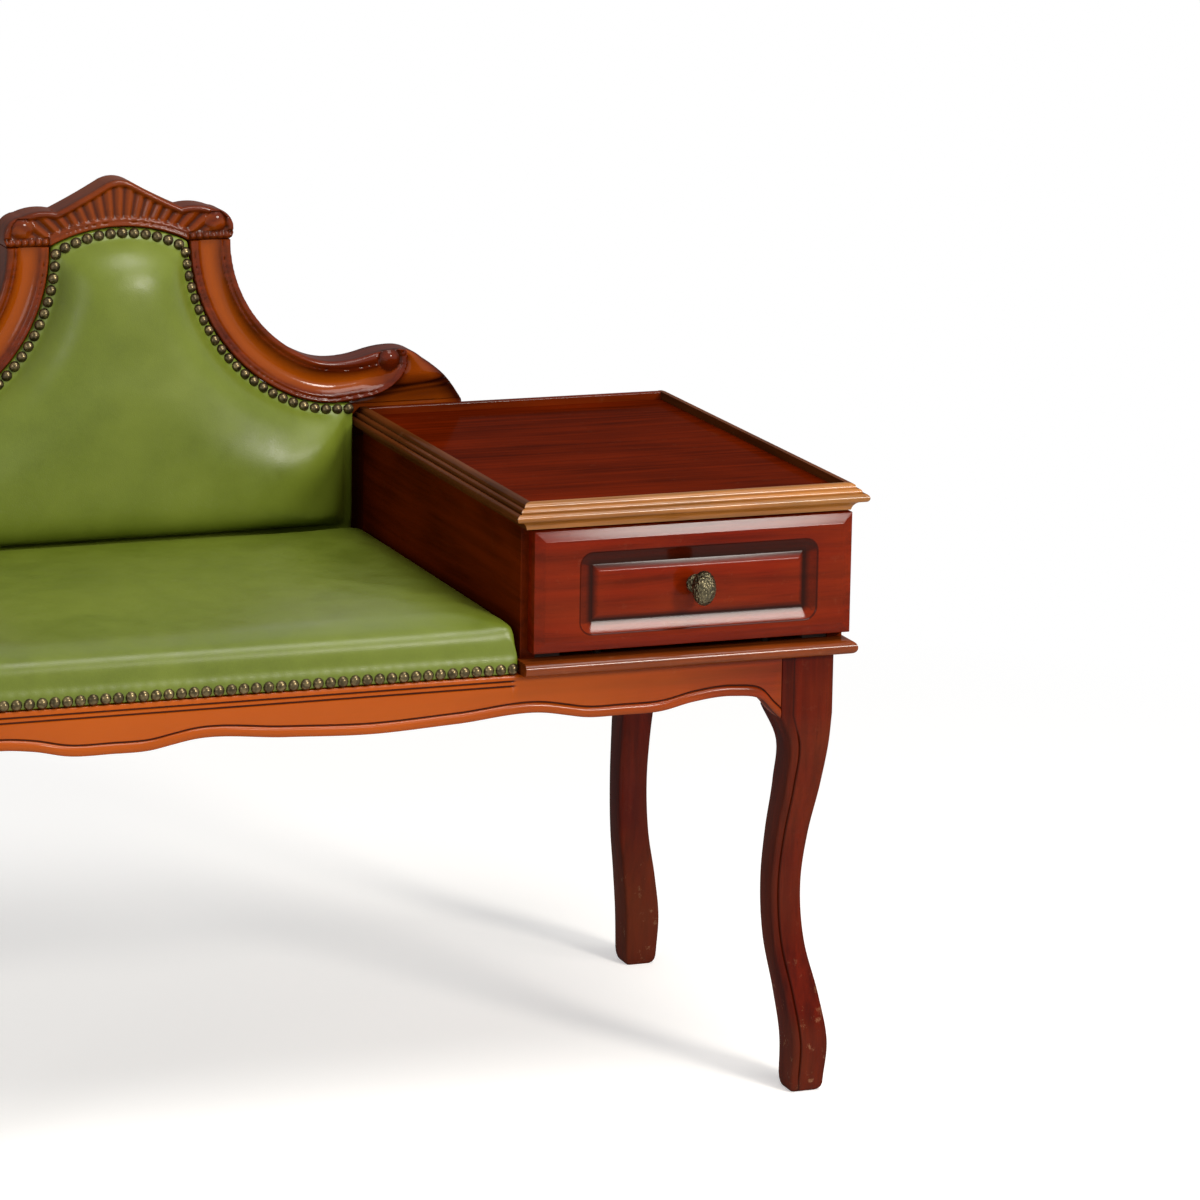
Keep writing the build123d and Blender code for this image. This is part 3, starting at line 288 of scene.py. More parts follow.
def distance_to(points, line):
    """Distance of each point from a chain of short straight runs."""
    line = np.array(line, float)
    best = np.full(len(points), 1e9)
    for a, b in zip(line[:-1], line[1:]):
        run = b - a
        share = clamp(((points - a) @ run) / max(run @ run, 1e-12))
        best = np.minimum(best, np.hypot(*(points - a - share[:, None] * run).T))
    return best


def is_inside(points, outline):
    """Whether each point lies inside a closed outline."""
    outline = np.array(outline, float)
    inside = np.zeros(len(points), bool)
    x, y = points.T
    for (ax, ay), (bx, by) in zip(outline, np.roll(outline, -1, axis=0)):
        crosses = (ay > y) != (by > y)
        inside ^= crosses & (x < (bx - ax) * (y - ay) / (by - ay + 1e-12) + ax)
    return inside


# ---------------------------------------------------------------- finishes
def new_material(name):
    """A new material with its node tree and shader, or the one made before, with neither. The names
    start alike, so that none meets a flat material that came with the CAD nodes."""
    name = "bench_" + name
    material = bpy.data.materials.get(name)
    if material:
        return material, None, None
    material = bpy.data.materials.new(name)
    material.use_nodes = True
    tree = material.node_tree
    return material, tree, tree.nodes["Principled BSDF"]


def node(tree, kind, settings=None, **inputs):
    """A new shader node. Inputs are values, or sockets to link from."""
    made = tree.nodes.new(kind)
    for key, value in (settings or {}).items():
        setattr(made, key, value)
    for key, value in inputs.items():
        socket = made.inputs[int(key[1:])] if key[0] == "i" and key[1:].isdigit() else made.inputs[key]
        if isinstance(value, bpy.types.NodeSocket):
            tree.links.new(value, socket)
        else:
            socket.default_value = value
    return made


def group(name, inputs, outputs):
    """A new shared node group, with its input and output nodes."""
    tree = bpy.data.node_groups.new(name, "ShaderNodeTree")
    for label, kind in inputs:
        tree.interface.new_socket(label, in_out="INPUT", socket_type=kind)
    for label, kind in outputs:
        tree.interface.new_socket(label, in_out="OUTPUT", socket_type=kind)
    return tree, tree.nodes.new("NodeGroupInput"), tree.nodes.new("NodeGroupOutput")


def stretched(tree, vector, scale):
    """A vector with each axis scaled, which stretches the pattern that reads it."""
    return node(tree, "ShaderNodeMapping", Vector=vector, Scale=scale).outputs[0]


def object_place(tree):
    return node(tree, "ShaderNodeTexCoord").outputs["Object"]


def vertex_value(tree, label):
    return node(tree, "ShaderNodeAttribute", {"attribute_name": label}).outputs["Fac"]


def raise_grain(tree, shader, height, strength, depth):
    """Tilt a shader's surface by the slope of a height."""
    made = node(tree, "ShaderNodeBump", Strength=strength, Distance=depth, Height=height)
    tree.links.new(made.outputs[0], shader.inputs["Normal"])


def times_plus(tree, value, factor, start):
    """A value multiplied by a factor, then added to a start."""
    made = math(tree, "MULTIPLY_ADD", value, factor)
    made.node.inputs[2].default_value = start
    return made


def math(tree, operation, a, b=0.0):
    return node(tree, "ShaderNodeMath", {"operation": operation}, i0=a, i1=b).outputs[0]


def blend_colour(tree, share, a, b):
    made = node(tree, "ShaderNodeMix", {"data_type": "RGBA"})
    for index, value in ((0, share), (6, a), (7, b)):
        if isinstance(value, bpy.types.NodeSocket):
            tree.links.new(value, made.inputs[index])
        else:
            made.inputs[index].default_value = value
    return made.outputs[2]


def opaque(colour):
    return (*colour, 1.0)


def times(colour, factor):
    return tuple(factor * c for c in colour)


def wood_grain():
    """Shared grain: streaks, pores and clouds in the polish, along the X of the given vector."""
    tree = bpy.data.node_groups.get("wood_grain")
    if tree:
        return tree
    tree, start, end = group("wood_grain", [("Vector", "NodeSocketVector")],
                             [("Streaks", "NodeSocketFloat"), ("Pores", "NodeSocketFloat"),
                              ("Clouds", "NodeSocketFloat"), ("Scuffs", "NodeSocketFloat")])
    vector = start.outputs[0]
    warp = node(tree, "ShaderNodeTexNoise", Vector=stretched(tree, vector, (3, 7, 7)), Scale=1.0, Detail=2.0)
    bent = node(tree, "ShaderNodeVectorMath", {"operation": "MULTIPLY_ADD"}, i0=warp.outputs["Color"],
                i1=(0.0, 0.02, 0.02), i2=vector).outputs[0]
    streaks = node(tree, "ShaderNodeTexNoise", Vector=stretched(tree, bent, (5, 110, 110)), Scale=1.0,
                   Detail=6.0, Roughness=0.62)
    pores = node(tree, "ShaderNodeTexNoise", Vector=stretched(tree, bent, (28, 900, 900)), Scale=1.0,
                 Detail=3.0, Roughness=0.7)
    clouds = node(tree, "ShaderNodeTexNoise", Vector=stretched(tree, vector, (5, 9, 9)), Scale=1.0,
                  Detail=3.0)
    scuffs = node(tree, "ShaderNodeTexNoise", Vector=vector, Scale=65.0, Detail=5.0, Roughness=0.75)
    for label, made in (("Streaks", streaks), ("Pores", pores), ("Clouds", clouds), ("Scuffs", scuffs)):
        tree.links.new(made.outputs["Fac"], end.inputs[label])
    return tree


def spread(tree, value, low, high):
    """A value stretched so that low becomes 0 and high becomes 1."""
    limits = {"From Min": low, "From Max": high}
    return node(tree, "ShaderNodeMapRange", {"clamp": True}, Value=value, **limits).outputs[0]


GRAIN_TURNS = {"x": (0, 0, 0), "y": (0, 0, pi / 2), "z": (0, pi / 2, 0)}
SCUFF = (0.34, 0.17, 0.085)


def grain_along(tree, axis):
    """The shared grain, turned so that it runs along an axis."""
    turned = node(tree, "ShaderNodeMapping", Vector=object_place(tree), Rotation=GRAIN_TURNS[axis]).outputs[0]
    return node(tree, "ShaderNodeGroup", {"node_tree": wood_grain()}, Vector=turned).outputs


def wood(name, base, grain="x", worn=0.0, patina_and_shade=False, gloss=0.16, light=None, polish=0.06, rubbed=False):
    """Polished wood. Its grain runs along an axis; a patina attribute darkens its grooves and also paints
    shade into recesses and onto side faces, a hollow attribute lightens it as a painted highlight, and the
    rubbed attribute says where it is scuffed."""
    material, tree, shader = new_material(name)
    if tree is None:
        return material
    made = grain_along(tree, grain)
    bright = light or tuple(min(1.0, 1.75 * c) for c in base)
    tone = spread(tree, made["Streaks"], 0.34, 0.68)
    colour = blend_colour(tree, tone, opaque(times(base, 0.42)), opaque(base))
    cloud = spread(tree, made["Clouds"], 0.42, 0.75)
    colour = blend_colour(tree, math(tree, "MULTIPLY", cloud, 0.55), colour, opaque(bright))
    pore = spread(tree, made["Pores"], 0.58, 0.72)
    colour = blend_colour(tree, math(tree, "MULTIPLY", pore, 0.35), colour, opaque(colours().patina_and_shade))
    if worn:
        scuff = spread(tree, made["Scuffs"], 0.60, 0.74)
        share = math(tree, "MULTIPLY", scuff, worn)
        if rubbed:
            share = math(tree, "MULTIPLY", share, vertex_value(tree, "rubbed"))
        colour = blend_colour(tree, share, colour, opaque(SCUFF))
    # painted shade and painted highlight: the first attribute darkens toward the patina colour, patina in
    # grooves and painted shade in recesses and on side faces; the hollow attribute lightens toward the bright
    # tone where light would catch
    if patina_and_shade:
        colour = blend_colour(tree, vertex_value(tree, "patina_and_shade"), colour, opaque(colours().patina_and_shade))
        colour = blend_colour(tree, vertex_value(tree, "hollow"), colour, opaque(bright))
    tree.links.new(colour, shader.inputs["Base Color"])
    tree.links.new(times_plus(tree, made["Scuffs"], 0.22, 0.3), shader.inputs["Roughness"])
    raise_grain(tree, shader, made["Streaks"], 0.09, 0.0006)
    # a weak coat in place of base specular keeps the wood's colour deep at flat angles
    shader.inputs["Specular IOR Level"].default_value = 0.0
    shader.inputs["Coat Weight"].default_value = polish
    shader.inputs["Coat Roughness"].default_value = gloss
    shader.inputs["Coat IOR"].default_value = 2.2
    return material


def plain_wood(name, base, grain="x"):
    """Unpolished wood of the hidden parts."""
    material, tree, shader = new_material(name)
    if tree is None:
        return material
    made = grain_along(tree, grain)
    tone = spread(tree, made["Streaks"], 0.3, 0.7)
    colour = blend_colour(tree, tone, opaque(times(base, 0.6)), opaque(base))
    tree.links.new(colour, shader.inputs["Base Color"])
    tree.links.new(times_plus(tree, made["Pores"], 0.3, 0.5), shader.inputs["Roughness"])
    raise_grain(tree, shader, made["Pores"], 0.25, 0.0005)
    return material


def leather():
    """Green leather: fine pebbled grain, soft creases, and rubbed lighter places."""
    material, tree, shader = new_material("green_leather")
    if tree is None:
        return material
    place = object_place(tree)
    pebbles = node(tree, "ShaderNodeTexVoronoi", {"feature": "DISTANCE_TO_EDGE"}, Vector=place, Scale=620.0)
    creases = node(tree, "ShaderNodeTexNoise", Vector=place, Scale=42.0, Detail=3.0, Roughness=0.5,
                   Distortion=0.2)
    clouds = node(tree, "ShaderNodeTexNoise", Vector=place, Scale=7.0, Detail=4.0, Roughness=0.6)
    rubbed = spread(tree, clouds.outputs["Fac"], 0.42, 0.72)
    specks = node(tree, "ShaderNodeTexNoise", Vector=place, Scale=330.0, Detail=3.0, Roughness=0.65)
    both = math(tree, "MULTIPLY_ADD", creases.outputs["Fac"], 0.55)
    tree.links.new(math(tree, "MULTIPLY", specks.outputs["Fac"], 0.45), both.node.inputs[2])
    fine = spread(tree, both, 0.32, 0.66)
    green = colours().leather
    colour = blend_colour(tree, fine, opaque(times(green, 0.84)), opaque(green))
    colour = blend_colour(tree, math(tree, "MULTIPLY", rubbed, 0.6), colour, opaque(colours().leather_light))
    tree.links.new(colour, shader.inputs["Base Color"])
    tree.links.new(times_plus(tree, creases.outputs["Fac"], 0.25, 0.23), shader.inputs["Roughness"])
    shader.inputs["Specular IOR Level"].default_value = 0.33
    relief = math(tree, "ADD", math(tree, "MULTIPLY", pebbles.outputs["Distance"], 0.5),
                  math(tree, "MULTIPLY", creases.outputs["Fac"], 0.5))
    raise_grain(tree, shader, relief, 0.16, 0.0012)
    return material


def metal(name, base, rough, dents, bump_strength, tarnish=0.5):
    """Metal with small dents and darker tarnish."""
    material, tree, shader = new_material(name)
    if tree is None:
        return material
    place = object_place(tree)
    cells = node(tree, "ShaderNodeTexVoronoi", {"feature": "F1"}, Vector=place, Scale=dents)
    stains = node(tree, "ShaderNodeTexNoise", Vector=place, Scale=dents * 0.35, Detail=4.0)
    share = math(tree, "MULTIPLY", spread(tree, stains.outputs["Fac"], 0.35, 0.7), tarnish)
    dark = opaque(times(base, 0.22))
    colour = blend_colour(tree, share, opaque(base), dark)
    hollow = spread(tree, cells.outputs["Distance"], 0.35, 0.75)
    colour = blend_colour(tree, math(tree, "MULTIPLY", hollow, tarnish), colour, dark)
    tree.links.new(colour, shader.inputs["Base Color"])
    shader.inputs["Metallic"].default_value = 0.85
    tree.links.new(times_plus(tree, stains.outputs["Fac"], 0.2, rough - 0.1), shader.inputs["Roughness"])
    raise_grain(tree, shader, math(tree, "SUBTRACT", 1.0, cells.outputs["Distance"]), bump_strength, 0.0015)
    return material


def black_cloth():
    """Thin woven cloth under the seat."""
    material, tree, shader = new_material("black_cloth")
    if tree is None:
        return material
    place = object_place(tree)
    across = node(tree, "ShaderNodeTexWave", {"bands_direction": "X"}, Vector=place, Scale=260.0)
    along = node(tree, "ShaderNodeTexWave", {"bands_direction": "Y"}, Vector=place, Scale=260.0)
    weave = math(tree, "MULTIPLY", across.outputs["Fac"], along.outputs["Fac"])
    tree.links.new(blend_colour(tree, weave, (0.006, 0.006, 0.006, 1), (0.03, 0.03, 0.03, 1)),
                   shader.inputs["Base Color"])
    shader.inputs["Roughness"].default_value = 0.9
    raise_grain(tree, shader, weave, 0.4, 0.0004)
    return material


def deep_mahogany(grain="x"):
    return wood("mahogany_" + grain, colours().mahogany, grain, worn=0.1)


def leg_mahogany():
    return wood("mahogany_legs", times(colours().mahogany, 0.72), "z", worn=0.8, patina_and_shade=True,
                gloss=0.2, light=(0.20, 0.040, 0.010), polish=0.05, rubbed=True)


def carved_mahogany():
    # the light tone is the painted highlight that the glow lays on the carving
    return wood("mahogany_carved", (0.135, 0.0150, 0.0018), "x", worn=0.0, patina_and_shade=True,
                gloss=0.13, light=times(colours().mahogany_light, 0.68), polish=0.10)


def finish(piece, material, body="root", replaced=()):
    """Give a piece its material, hang it under the empty of its body, and hide the CAD nodes it replaces."""
    piece.data.materials.clear()
    piece.data.materials.append(material)
    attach(piece, body)
    if replaced:
        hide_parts(*replaced)
    return piece


def dress(node_name, material):
    """Give a CAD node's material slots a finish."""
    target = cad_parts[node_name]
    if not target.material_slots:
        target.data.materials.append(material)
    for slot in target.material_slots:
        slot.material = material


def mark(piece, label, values):
    """Keep a number per vertex with the mesh, for the material to read."""
    attribute = piece.data.attributes.new(label, "FLOAT", "POINT")
    attribute.data.foreach_set("value", np.asarray(values, dtype=np.float32))


# ---------------------------------------------------------------- legs
# height, how far the outer faces stand in, and the section's width
LEG_STATIONS = ((12.0, 0.0, 32.5), (46.0, -2.2, 34.8), (90.0, 4.5, 33.5), (140.0, 15.5, 30.5),
                (196.0, 19.0, 29.5), (240.0, 15.2, 31.0), (290.0, 7.0, 34.5), (330.0, 1.8, 38.5),
                (358.0, 0.0, 51.0))
LEGS = {
    "leg_front_left": (FRAME_LEFT, LEGS_FRONT, 1, 1),
    "leg_front_right": (FRAME_RIGHT, LEGS_FRONT, -1, 1),
    "leg_rear_left": (FRAME_LEFT, LEGS_REAR, 1, -1),
    "leg_rear_right": (FRAME_RIGHT, LEGS_REAR, -1, -1),
}


def leg_ring(width, groove):
    """Outline of a leg's section from its outer corner: eased edges, and a fine groove near the
    inner edge of each outer face."""
    ease = sizes().leg_ease / MM
    corners = []
    for x, y, start in ((ease, ease, pi), (width - ease, ease, 1.5 * pi), (width - ease, width - ease, 0.0),
                        (ease, width - ease, 0.5 * pi)):
        corners.append([(x + ease * cos(start + i * pi / 6), y + ease * sin(start + i * pi / 6))
                        for i in range(4)])
    line = width * 0.76
    side = [(line - 1.5, 0.0), (line, groove), (line + 1.5, 0.0)]
    other = [(b, a) for a, b in reversed(side)]
    return corners[0] + side + corners[1] + corners[2] + corners[3] + other


class BENCH_OT_legs(bpy.types.Operator):
    """Four cabriole legs with eased edges and a fine groove down their outer faces"""
    bl_idname = "bench.legs"
    bl_label = "Legs"

    def execute(self, context):
        foot = [(0.0, 5.2, 24.4), (1.4, 3.0, 27.6), (3.6, 1.4, 30.0), (7.0, 0.4, 31.7)]
        levels = foot + [tuple(row) for row in smooth_line(LEG_STATIONS, 62)]
        levels += [(360.0, 0.0, 51.0), (RAIL_TOP - 0.6, 0.0, 51.0), (RAIL_TOP, 0.6, 49.8)]
        for name, (corner_x, corner_y, in_x, in_y) in LEGS.items():
            rows, depths = [], []
            for height, inset, width in levels:
                fade = min(1.0, max(0.0, (352.0 - height) / 12.0)) * min(1.0, height / 14.0)
                ring = leg_ring(width, fade * sizes().leg_groove / MM)
                rows.append([(corner_x + in_x * (inset + a), corner_y + in_y * (inset + b), height)
                             for a, b in ring])
            piece = skin(name + "_shaped", rows)
            points = points_of(piece) / MM
            shading = np.zeros(len(points))
            for height, inset, width in levels:
                near = np.abs(points[:, 2] - height) < 0.01
                line = width * 0.76
                for axis, corner, inward in ((0, corner_x, in_x), (1, corner_y, in_y)):
                    run = inward * (points[:, axis] - corner) - inset
                    shading[near & (np.abs(run - line) < 0.4)] = 0.85
                    shading[near & (run > line + 0.4)] = 0.22
            mark(piece, "patina_and_shade", shading)
            mark(piece, "hollow", np.zeros(len(points)))
            mark(piece, "rubbed", np.clip((150.0 - points[:, 2]) / 100.0, 0.06, 1))
            shade(piece, 40.0)
            finish(piece, leg_mahogany(), replaced=[name])
        return {"FINISHED"}


# ---------------------------------------------------------------- front rail
# run from the right leg, and drop below the rail's top; the lowest point is in the middle
APRON_EDGE = ((0.0, 58.0), (6.5, 51.8), (18.5, 39.2), (45.5, 34.0), (84.5, 36.6), (114.5, 42.8),
              (152.5, 43.6), (189.5, 42.8), (206.0, 39.7), (223.5, 36.5), (309.5, 40.4))
APRON_MIDDLE_DROP = 43.6
APRON_INSET = 51.2


class BENCH_OT_front_rail(bpy.types.Operator):
    """Serpentine front rail with a bead along its lower edge and two reeds under the seat"""
    bl_idname = "bench.front_rail"
    bl_label = "Front rail"

    def execute(self, context):
        left, right = FRAME_LEFT + APRON_INSET, FRAME_RIGHT - APRON_INSET
        middle = (left + right) / 2
        outline = [(right - run, RAIL_TOP - drop) for run, drop in APRON_EDGE]
        lower = [(2 * middle - x, z) for x, z in outline]
        lower += [(middle, RAIL_TOP - APRON_MIDDLE_DROP)] + outline[::-1]
        bead = sizes().bead / MM
        rows = []
        for x, low in smooth_line(lower, 300):
            reed = 1.4 if x < LIP_LEFT - 6.0 else 0.0
            section = [(22.0, low), (1.6, low), (0.4, low + 0.7), (-0.5, low + 0.25 * bead),
                       (-0.9, low + 0.5 * bead), (-0.5, low + 0.78 * bead), (0.5, low + 0.97 * bead),
                       (2.0, low + 1.06 * bead), (2.0, low + 1.13 * bead), (0.3, low + 1.24 * bead),
                       (0.0, low + 1.5 * bead)]
            for drop in (9.9, 5.4):
                section += [(0.0, RAIL_TOP - drop - 0.9), (reed, RAIL_TOP - drop - 0.1),
                            (reed, RAIL_TOP - drop + 0.7), (0.0, RAIL_TOP - drop + 1.5)]
            section += [(0.0, RAIL_TOP - 1.0), (0.8, RAIL_TOP), (22.0, RAIL_TOP)]
            rows.append([(x, LEGS_FRONT + depth, z) for depth, z in section])
        piece = skin("front_rail_shaped", rows)
        points = points_of(piece) / MM
        depth = points[:, 1] - LEGS_FRONT
        groove = (depth > 1.0) & (depth < 2.4) & (points[:, 2] < RAIL_TOP - 0.5)
        # the hollow attribute paints the rail a lighter tone, strongest left of the middle and weakest at the
        # right end, a little weaker on the bead; the patina attribute darkens the groove above the bead
        flat = np.interp(points[:, 0], [left, middle - 260, middle, middle + 180, right],
                         [0.55, 1.0, 0.9, 0.75, 0.15])
        on_bead = (depth < -0.3) | ((depth < 1.8) & (depth > 0.35))
        mark(piece, "patina_and_shade", np.where(groove, 0.9, 0.0))
        mark(piece, "hollow", np.where(groove, 0.0, np.where(on_bead, 0.75 * flat, 0.85 * flat)))
        shade(piece, 50.0)
        finish(piece, wood("mahogany_apron", times(colours().mahogany, 1.3), "x", worn=0.1,
                           patina_and_shade=True, light=tuple(colours().mahogany_light), polish=0.10),
               replaced=["front_rail"])
        return {"FINISHED"}


# ---------------------------------------------------------------- carved back
CREST_HALF, SWOOP_TOP, BAND = 107.5, 740.0, 40.0
VALLEY = (212.25, 618.4)
SCROLL_TOP, EYE = (274.25, 627.4), (265.25, 618.0)
HALF_BACK = 337.25
LEAF = ((HALF_BACK - 17.0, 604.0), (HALF_BACK, 571.3))
LEAF_START, LEAF_FOOT = 3.0, 573.2
BAND_FOOT = (228.25, 579.4)
# side, node, foot of the leaf's rear board, where it starts, how far it stands back, and its reach
SWOOPS = ((1, "back_swoop_right", 558.0, 228.95, 20.9, 8.5), (-1, "back_swoop_left", 570.3, 303.25, 8.0, 0.0))
SCROLL_EDGE = ((-29.0, -37.0), (-12.0, -33.0), (2.0, -26.0), (13.0, -15.0), (17.5, 0.0), (15.0, 8.5))


def swoop_line(inside, count=26):
    """The two arcs of a swoop's edge that lies inside the outer edge, from the crest to the valley."""
    run, drop = VALLEY[0] - CREST_HALF, SWOOP_TOP - VALLEY[1]
    c, s = cos(radians(67.0)), sin(radians(67.0))
    bottom = (1 - c) * (1 - s) - c * s
    upper = (run * (1 - s) - drop * c) / bottom
    lower = (drop * (1 - c) - run * s) / bottom
    first = [(CREST_HALF + upper - (upper + inside) * cos(a), SWOOP_TOP - (upper + inside) * sin(a))
             for a in np.linspace(0, radians(67.0), count)]
    second = [(VALLEY[0] - (lower + inside) * cos(a), VALLEY[1] + lower - (lower + inside) * sin(a))
              for a in np.linspace(radians(67.0), pi / 2, count // 2)]
    return first + second[1:]


def rise_line():
    """The outer edge from the valley up to the top of the scroll, and round its nose."""
    turn = 2 * atan2(SCROLL_TOP[1] - VALLEY[1], SCROLL_TOP[0] - VALLEY[0])
    radius = (SCROLL_TOP[0] - VALLEY[0]) / (2 * sin(turn))
    low = [(VALLEY[0] + radius * sin(a), VALLEY[1] + radius * (1 - cos(a))) for a in np.linspace(0, turn, 10)]
    high = [(SCROLL_TOP[0] - radius * sin(a), SCROLL_TOP[1] - radius * (1 - cos(a)))
            for a in np.linspace(turn, 0, 10)]
    return low + high[1:]


def nose_line():
    return [(SCROLL_TOP[0] + 35.0 * sin(a), SCROLL_TOP[1] - 35.0 * (1 - cos(a)))
            for a in np.linspace(0, radians(43.0), 9)]


def roll(t, depth):
    """Depth of a half-round roll across its width, from 0 to 1."""
    return depth * (1 - np.sqrt(clamp(1 - (2 * t - 1) ** 2)))


def leaf_depth(points, edge, scroll):
    """Depth of the leaf behind the scroll: a full body that falls away to its edge and to a groove
    beside the scroll, with a fold across its foot."""
    out = distance_to(points, edge)
    near = distance_to(points, scroll)
    share = clamp(near / np.maximum(near + out, 1e-3))
    body = 4.4 * (1 - np.sin(pi * share) ** 0.6)
    fold_height = 587.0 + 0.12 * (points[:, 0] - EYE[0])
    fold = 2.6 * np.exp(-((points[:, 1] - fold_height) / 2.4) ** 2)
    lower = 1.2 * np.exp(-((points[:, 1] - fold_height + 6.5) / 2.0) ** 2)
    return np.clip(body + fold + lower, 0, 5.4)


def band_depth(points):
    """Depth of the band: an outer roll with a fine bead, the cove, two inner beads, and the scroll's eye."""
    outer = swoop_line(0.0) + rise_line()[1:] + nose_line()[1:4]
    inner = swoop_line(BAND) + scroll_line()
    out = distance_to(points, outer)
    inn = distance_to(points, inner)
    eye = np.hypot(points[:, 0] - EYE[0], points[:, 1] - EYE[1])
    widening = clamp((points[:, 0] - VALLEY[0]) / 45.0) * (points[:, 1] < 640)
    roll_width = 7.5 + 3.5 * widening
    room = inn + np.minimum(out, np.maximum(eye - 9.0, 0))
    scale = np.clip(room / BAND, 0.52, 1.0)
    bead = 4.4 * scale**0.8
    hollow_start = roll_width + 2.6
    share = (out - hollow_start) / np.maximum((out - hollow_start) + (inn - 2 * bead), 1e-3)
    inside = clamp(share)
    cove = sizes().cove_depth / MM * scale
    depth = 2.4 + cove * np.sin(pi * inside) ** 0.75
    depth = np.where(out < hollow_start, 1.4 + roll(clamp((out - roll_width) / 2.6), 1.6), depth)
    depth = np.where(out < roll_width, roll(clamp(out / roll_width), 3.4), depth)
    depth = np.where(inn < 2 * bead, 0.9 + roll(clamp(inn / bead - 1), 2.2), depth)
    depth = np.where(inn < bead, roll(clamp(inn / bead), 2.8), depth)
    depth = np.where(eye < 12.0, 4.2 - 0.6 * np.abs(eye - 10.5), depth)
    depth = np.where(eye < 8.4, 0.2 + 3.1 * (eye / 8.4) ** 2.4, depth)
    # glow: a painted highlight, a lighter tone in the middle of the cove that fades towards the scroll
    glow = np.where((out > hollow_start) & (inn > 2 * bead) & (eye > 12), np.sin(pi * inside) ** 0.6, 0.0)
    glow *= np.clip((EYE[0] + 4.0 - points[:, 0]) / 30.0, 0.25, 1)
    return depth, glow


def crest_lines():
    """Top and lower edges of the crest, from its right end to its left end."""
    half = arc_through((CREST_HALF, SWOOP_TOP), (110.4, 753.5), (93.5, 769.0), 12)
    half += arc_through((93.5, 769.0), (76.5, 773.2), (60.5, 772.0), 8)[1:]
    half += arc_through((60.5, 772.0), (38.0, 783.0), (16.0, 795.0), 10)[1:]
    top = half + arc_through((16.0, 795.0), (0.0, 800.0), (-16.0, 795.0), 9)[1:]
    top += [(-x, z) for x, z in half[::-1]][1:]
    end = CREST_HALF - BAND
    low = arc_through((end, SWOOP_TOP), (0.0, SWOOP_TOP + 16.0), (-end, SWOOP_TOP), 30)
    return top, low


def crest_depth(points):
    """Depth of the crest: a rolled top edge, two beads along the arch, flutes of a shell between them,
    and a collar of small pearls over each joint."""
    top, low = crest_lines()
    up = distance_to(points, top)
    down = distance_to(points, low)
    angle = np.arctan2(points[:, 0], points[:, 1] - 690.0)
    flutes = 0.5 - 0.5 * np.cos(angle * 58.0)
    depth = 1.6 + 2.6 * flutes**0.7
    depth = np.where(down < 8.8, 0.9 + roll(clamp(down / 4.4 - 1), 2.2), depth)
    depth = np.where(down < 4.4, roll(clamp(down / 4.4), 2.8), depth)
    depth = np.where(up < 6.5, roll(clamp(up / 6.5), 3.2), depth)
    side = np.abs(points[:, 0])
    lobe = np.hypot(side - 93.0, points[:, 1] - 757.0)
    depth = np.where(lobe < 10.5, 0.3 + 3.4 * (lobe / 10.5) ** 2.4, depth)
    collar = (points[:, 1] < SWOOP_TOP + 8.5) & (side > CREST_HALF - BAND)
    pearl_x = (side - (CREST_HALF - BAND)) % 6.6 - 3.3
    pearl = np.sqrt(pearl_x**2 + (points[:, 1] - SWOOP_TOP - 4.2) ** 2) / 3.3
    pearls = np.where(pearl < 1, 0.4 + 2.8 * (1 - np.sqrt(clamp(1 - pearl**2))), 3.6)
    depth = np.where(collar, pearls, depth)
    # glow: a painted highlight on the ridges between the flutes
    glow = np.where((down > 8.8) & (up > 6.5) & ~collar, 0.35 * (1 - flutes), 0.0)
    return depth, glow


def scroll_line():
    return [(EYE[0] + x, EYE[1] + z) for x, z in smooth_line(SCROLL_EDGE, 40)]


def back_plane(piece, side=1):
    """A piece's points in millimetres, and their places on the back, measured from its middle."""
    points = points_of(piece) / MM
    return points, np.column_stack([side * (points[:, 0] - BACK_CENTRE), points[:, 2]])


def carve(piece, points, zones, face, span, edge):
    """Move points back by the depth of the carving under them. A zone is which points, where its face
    stands, and their depths and glow, a painted highlight. The face is the share of the thickness that
    counts as front, the span is the depth over which the darkening of recesses grows, part patina and
    part painted shade, and the edge is how dark the side faces are painted, as painted shade."""
    patina_and_shade, hollow = np.zeros((2, len(points)))
    for here, start, (depth, glow) in zones:
        share = clamp((BACK_REAR - points[here, 1]) / (BACK_REAR - start))
        points[here, 1] += depth * share
        front = share > face
        # painted shade: deeper places and the side faces are darkened, less where the glow paints light; the
        # glow goes to the hollow attribute as a painted highlight
        patina_and_shade[here] = np.where(front, clamp((depth - glow * 9.0 - 1.9) / span), edge)
        hollow[here] = np.where(front, glow, 0.0)
    set_points(piece, points * MM)
    mark(piece, "patina_and_shade", 0.8 * patina_and_shade)
    mark(piece, "hollow", 0.92 * hollow)


def joined_blank(name, blanks):
    """Overlapping boards joined in one solid and meshed evenly."""
    choose(blanks[0])
    for other in blanks[1:]:
        other.select_set(True)
    if len(blanks) > 1:
        bpy.ops.object.join()
    piece = name_it(blanks[0], name)
    apply_modifier(piece, "REMESH", mode="VOXEL", voxel_size=sizes().carving_voxel, adaptivity=0.0)
    return piece


def polish_carving(piece, node_name):
    apply_modifier(piece, "SMOOTH", factor=0.5, iterations=1)
    shade(piece, 60.0)
    finish(piece, carved_mahogany(), replaced=[node_name])


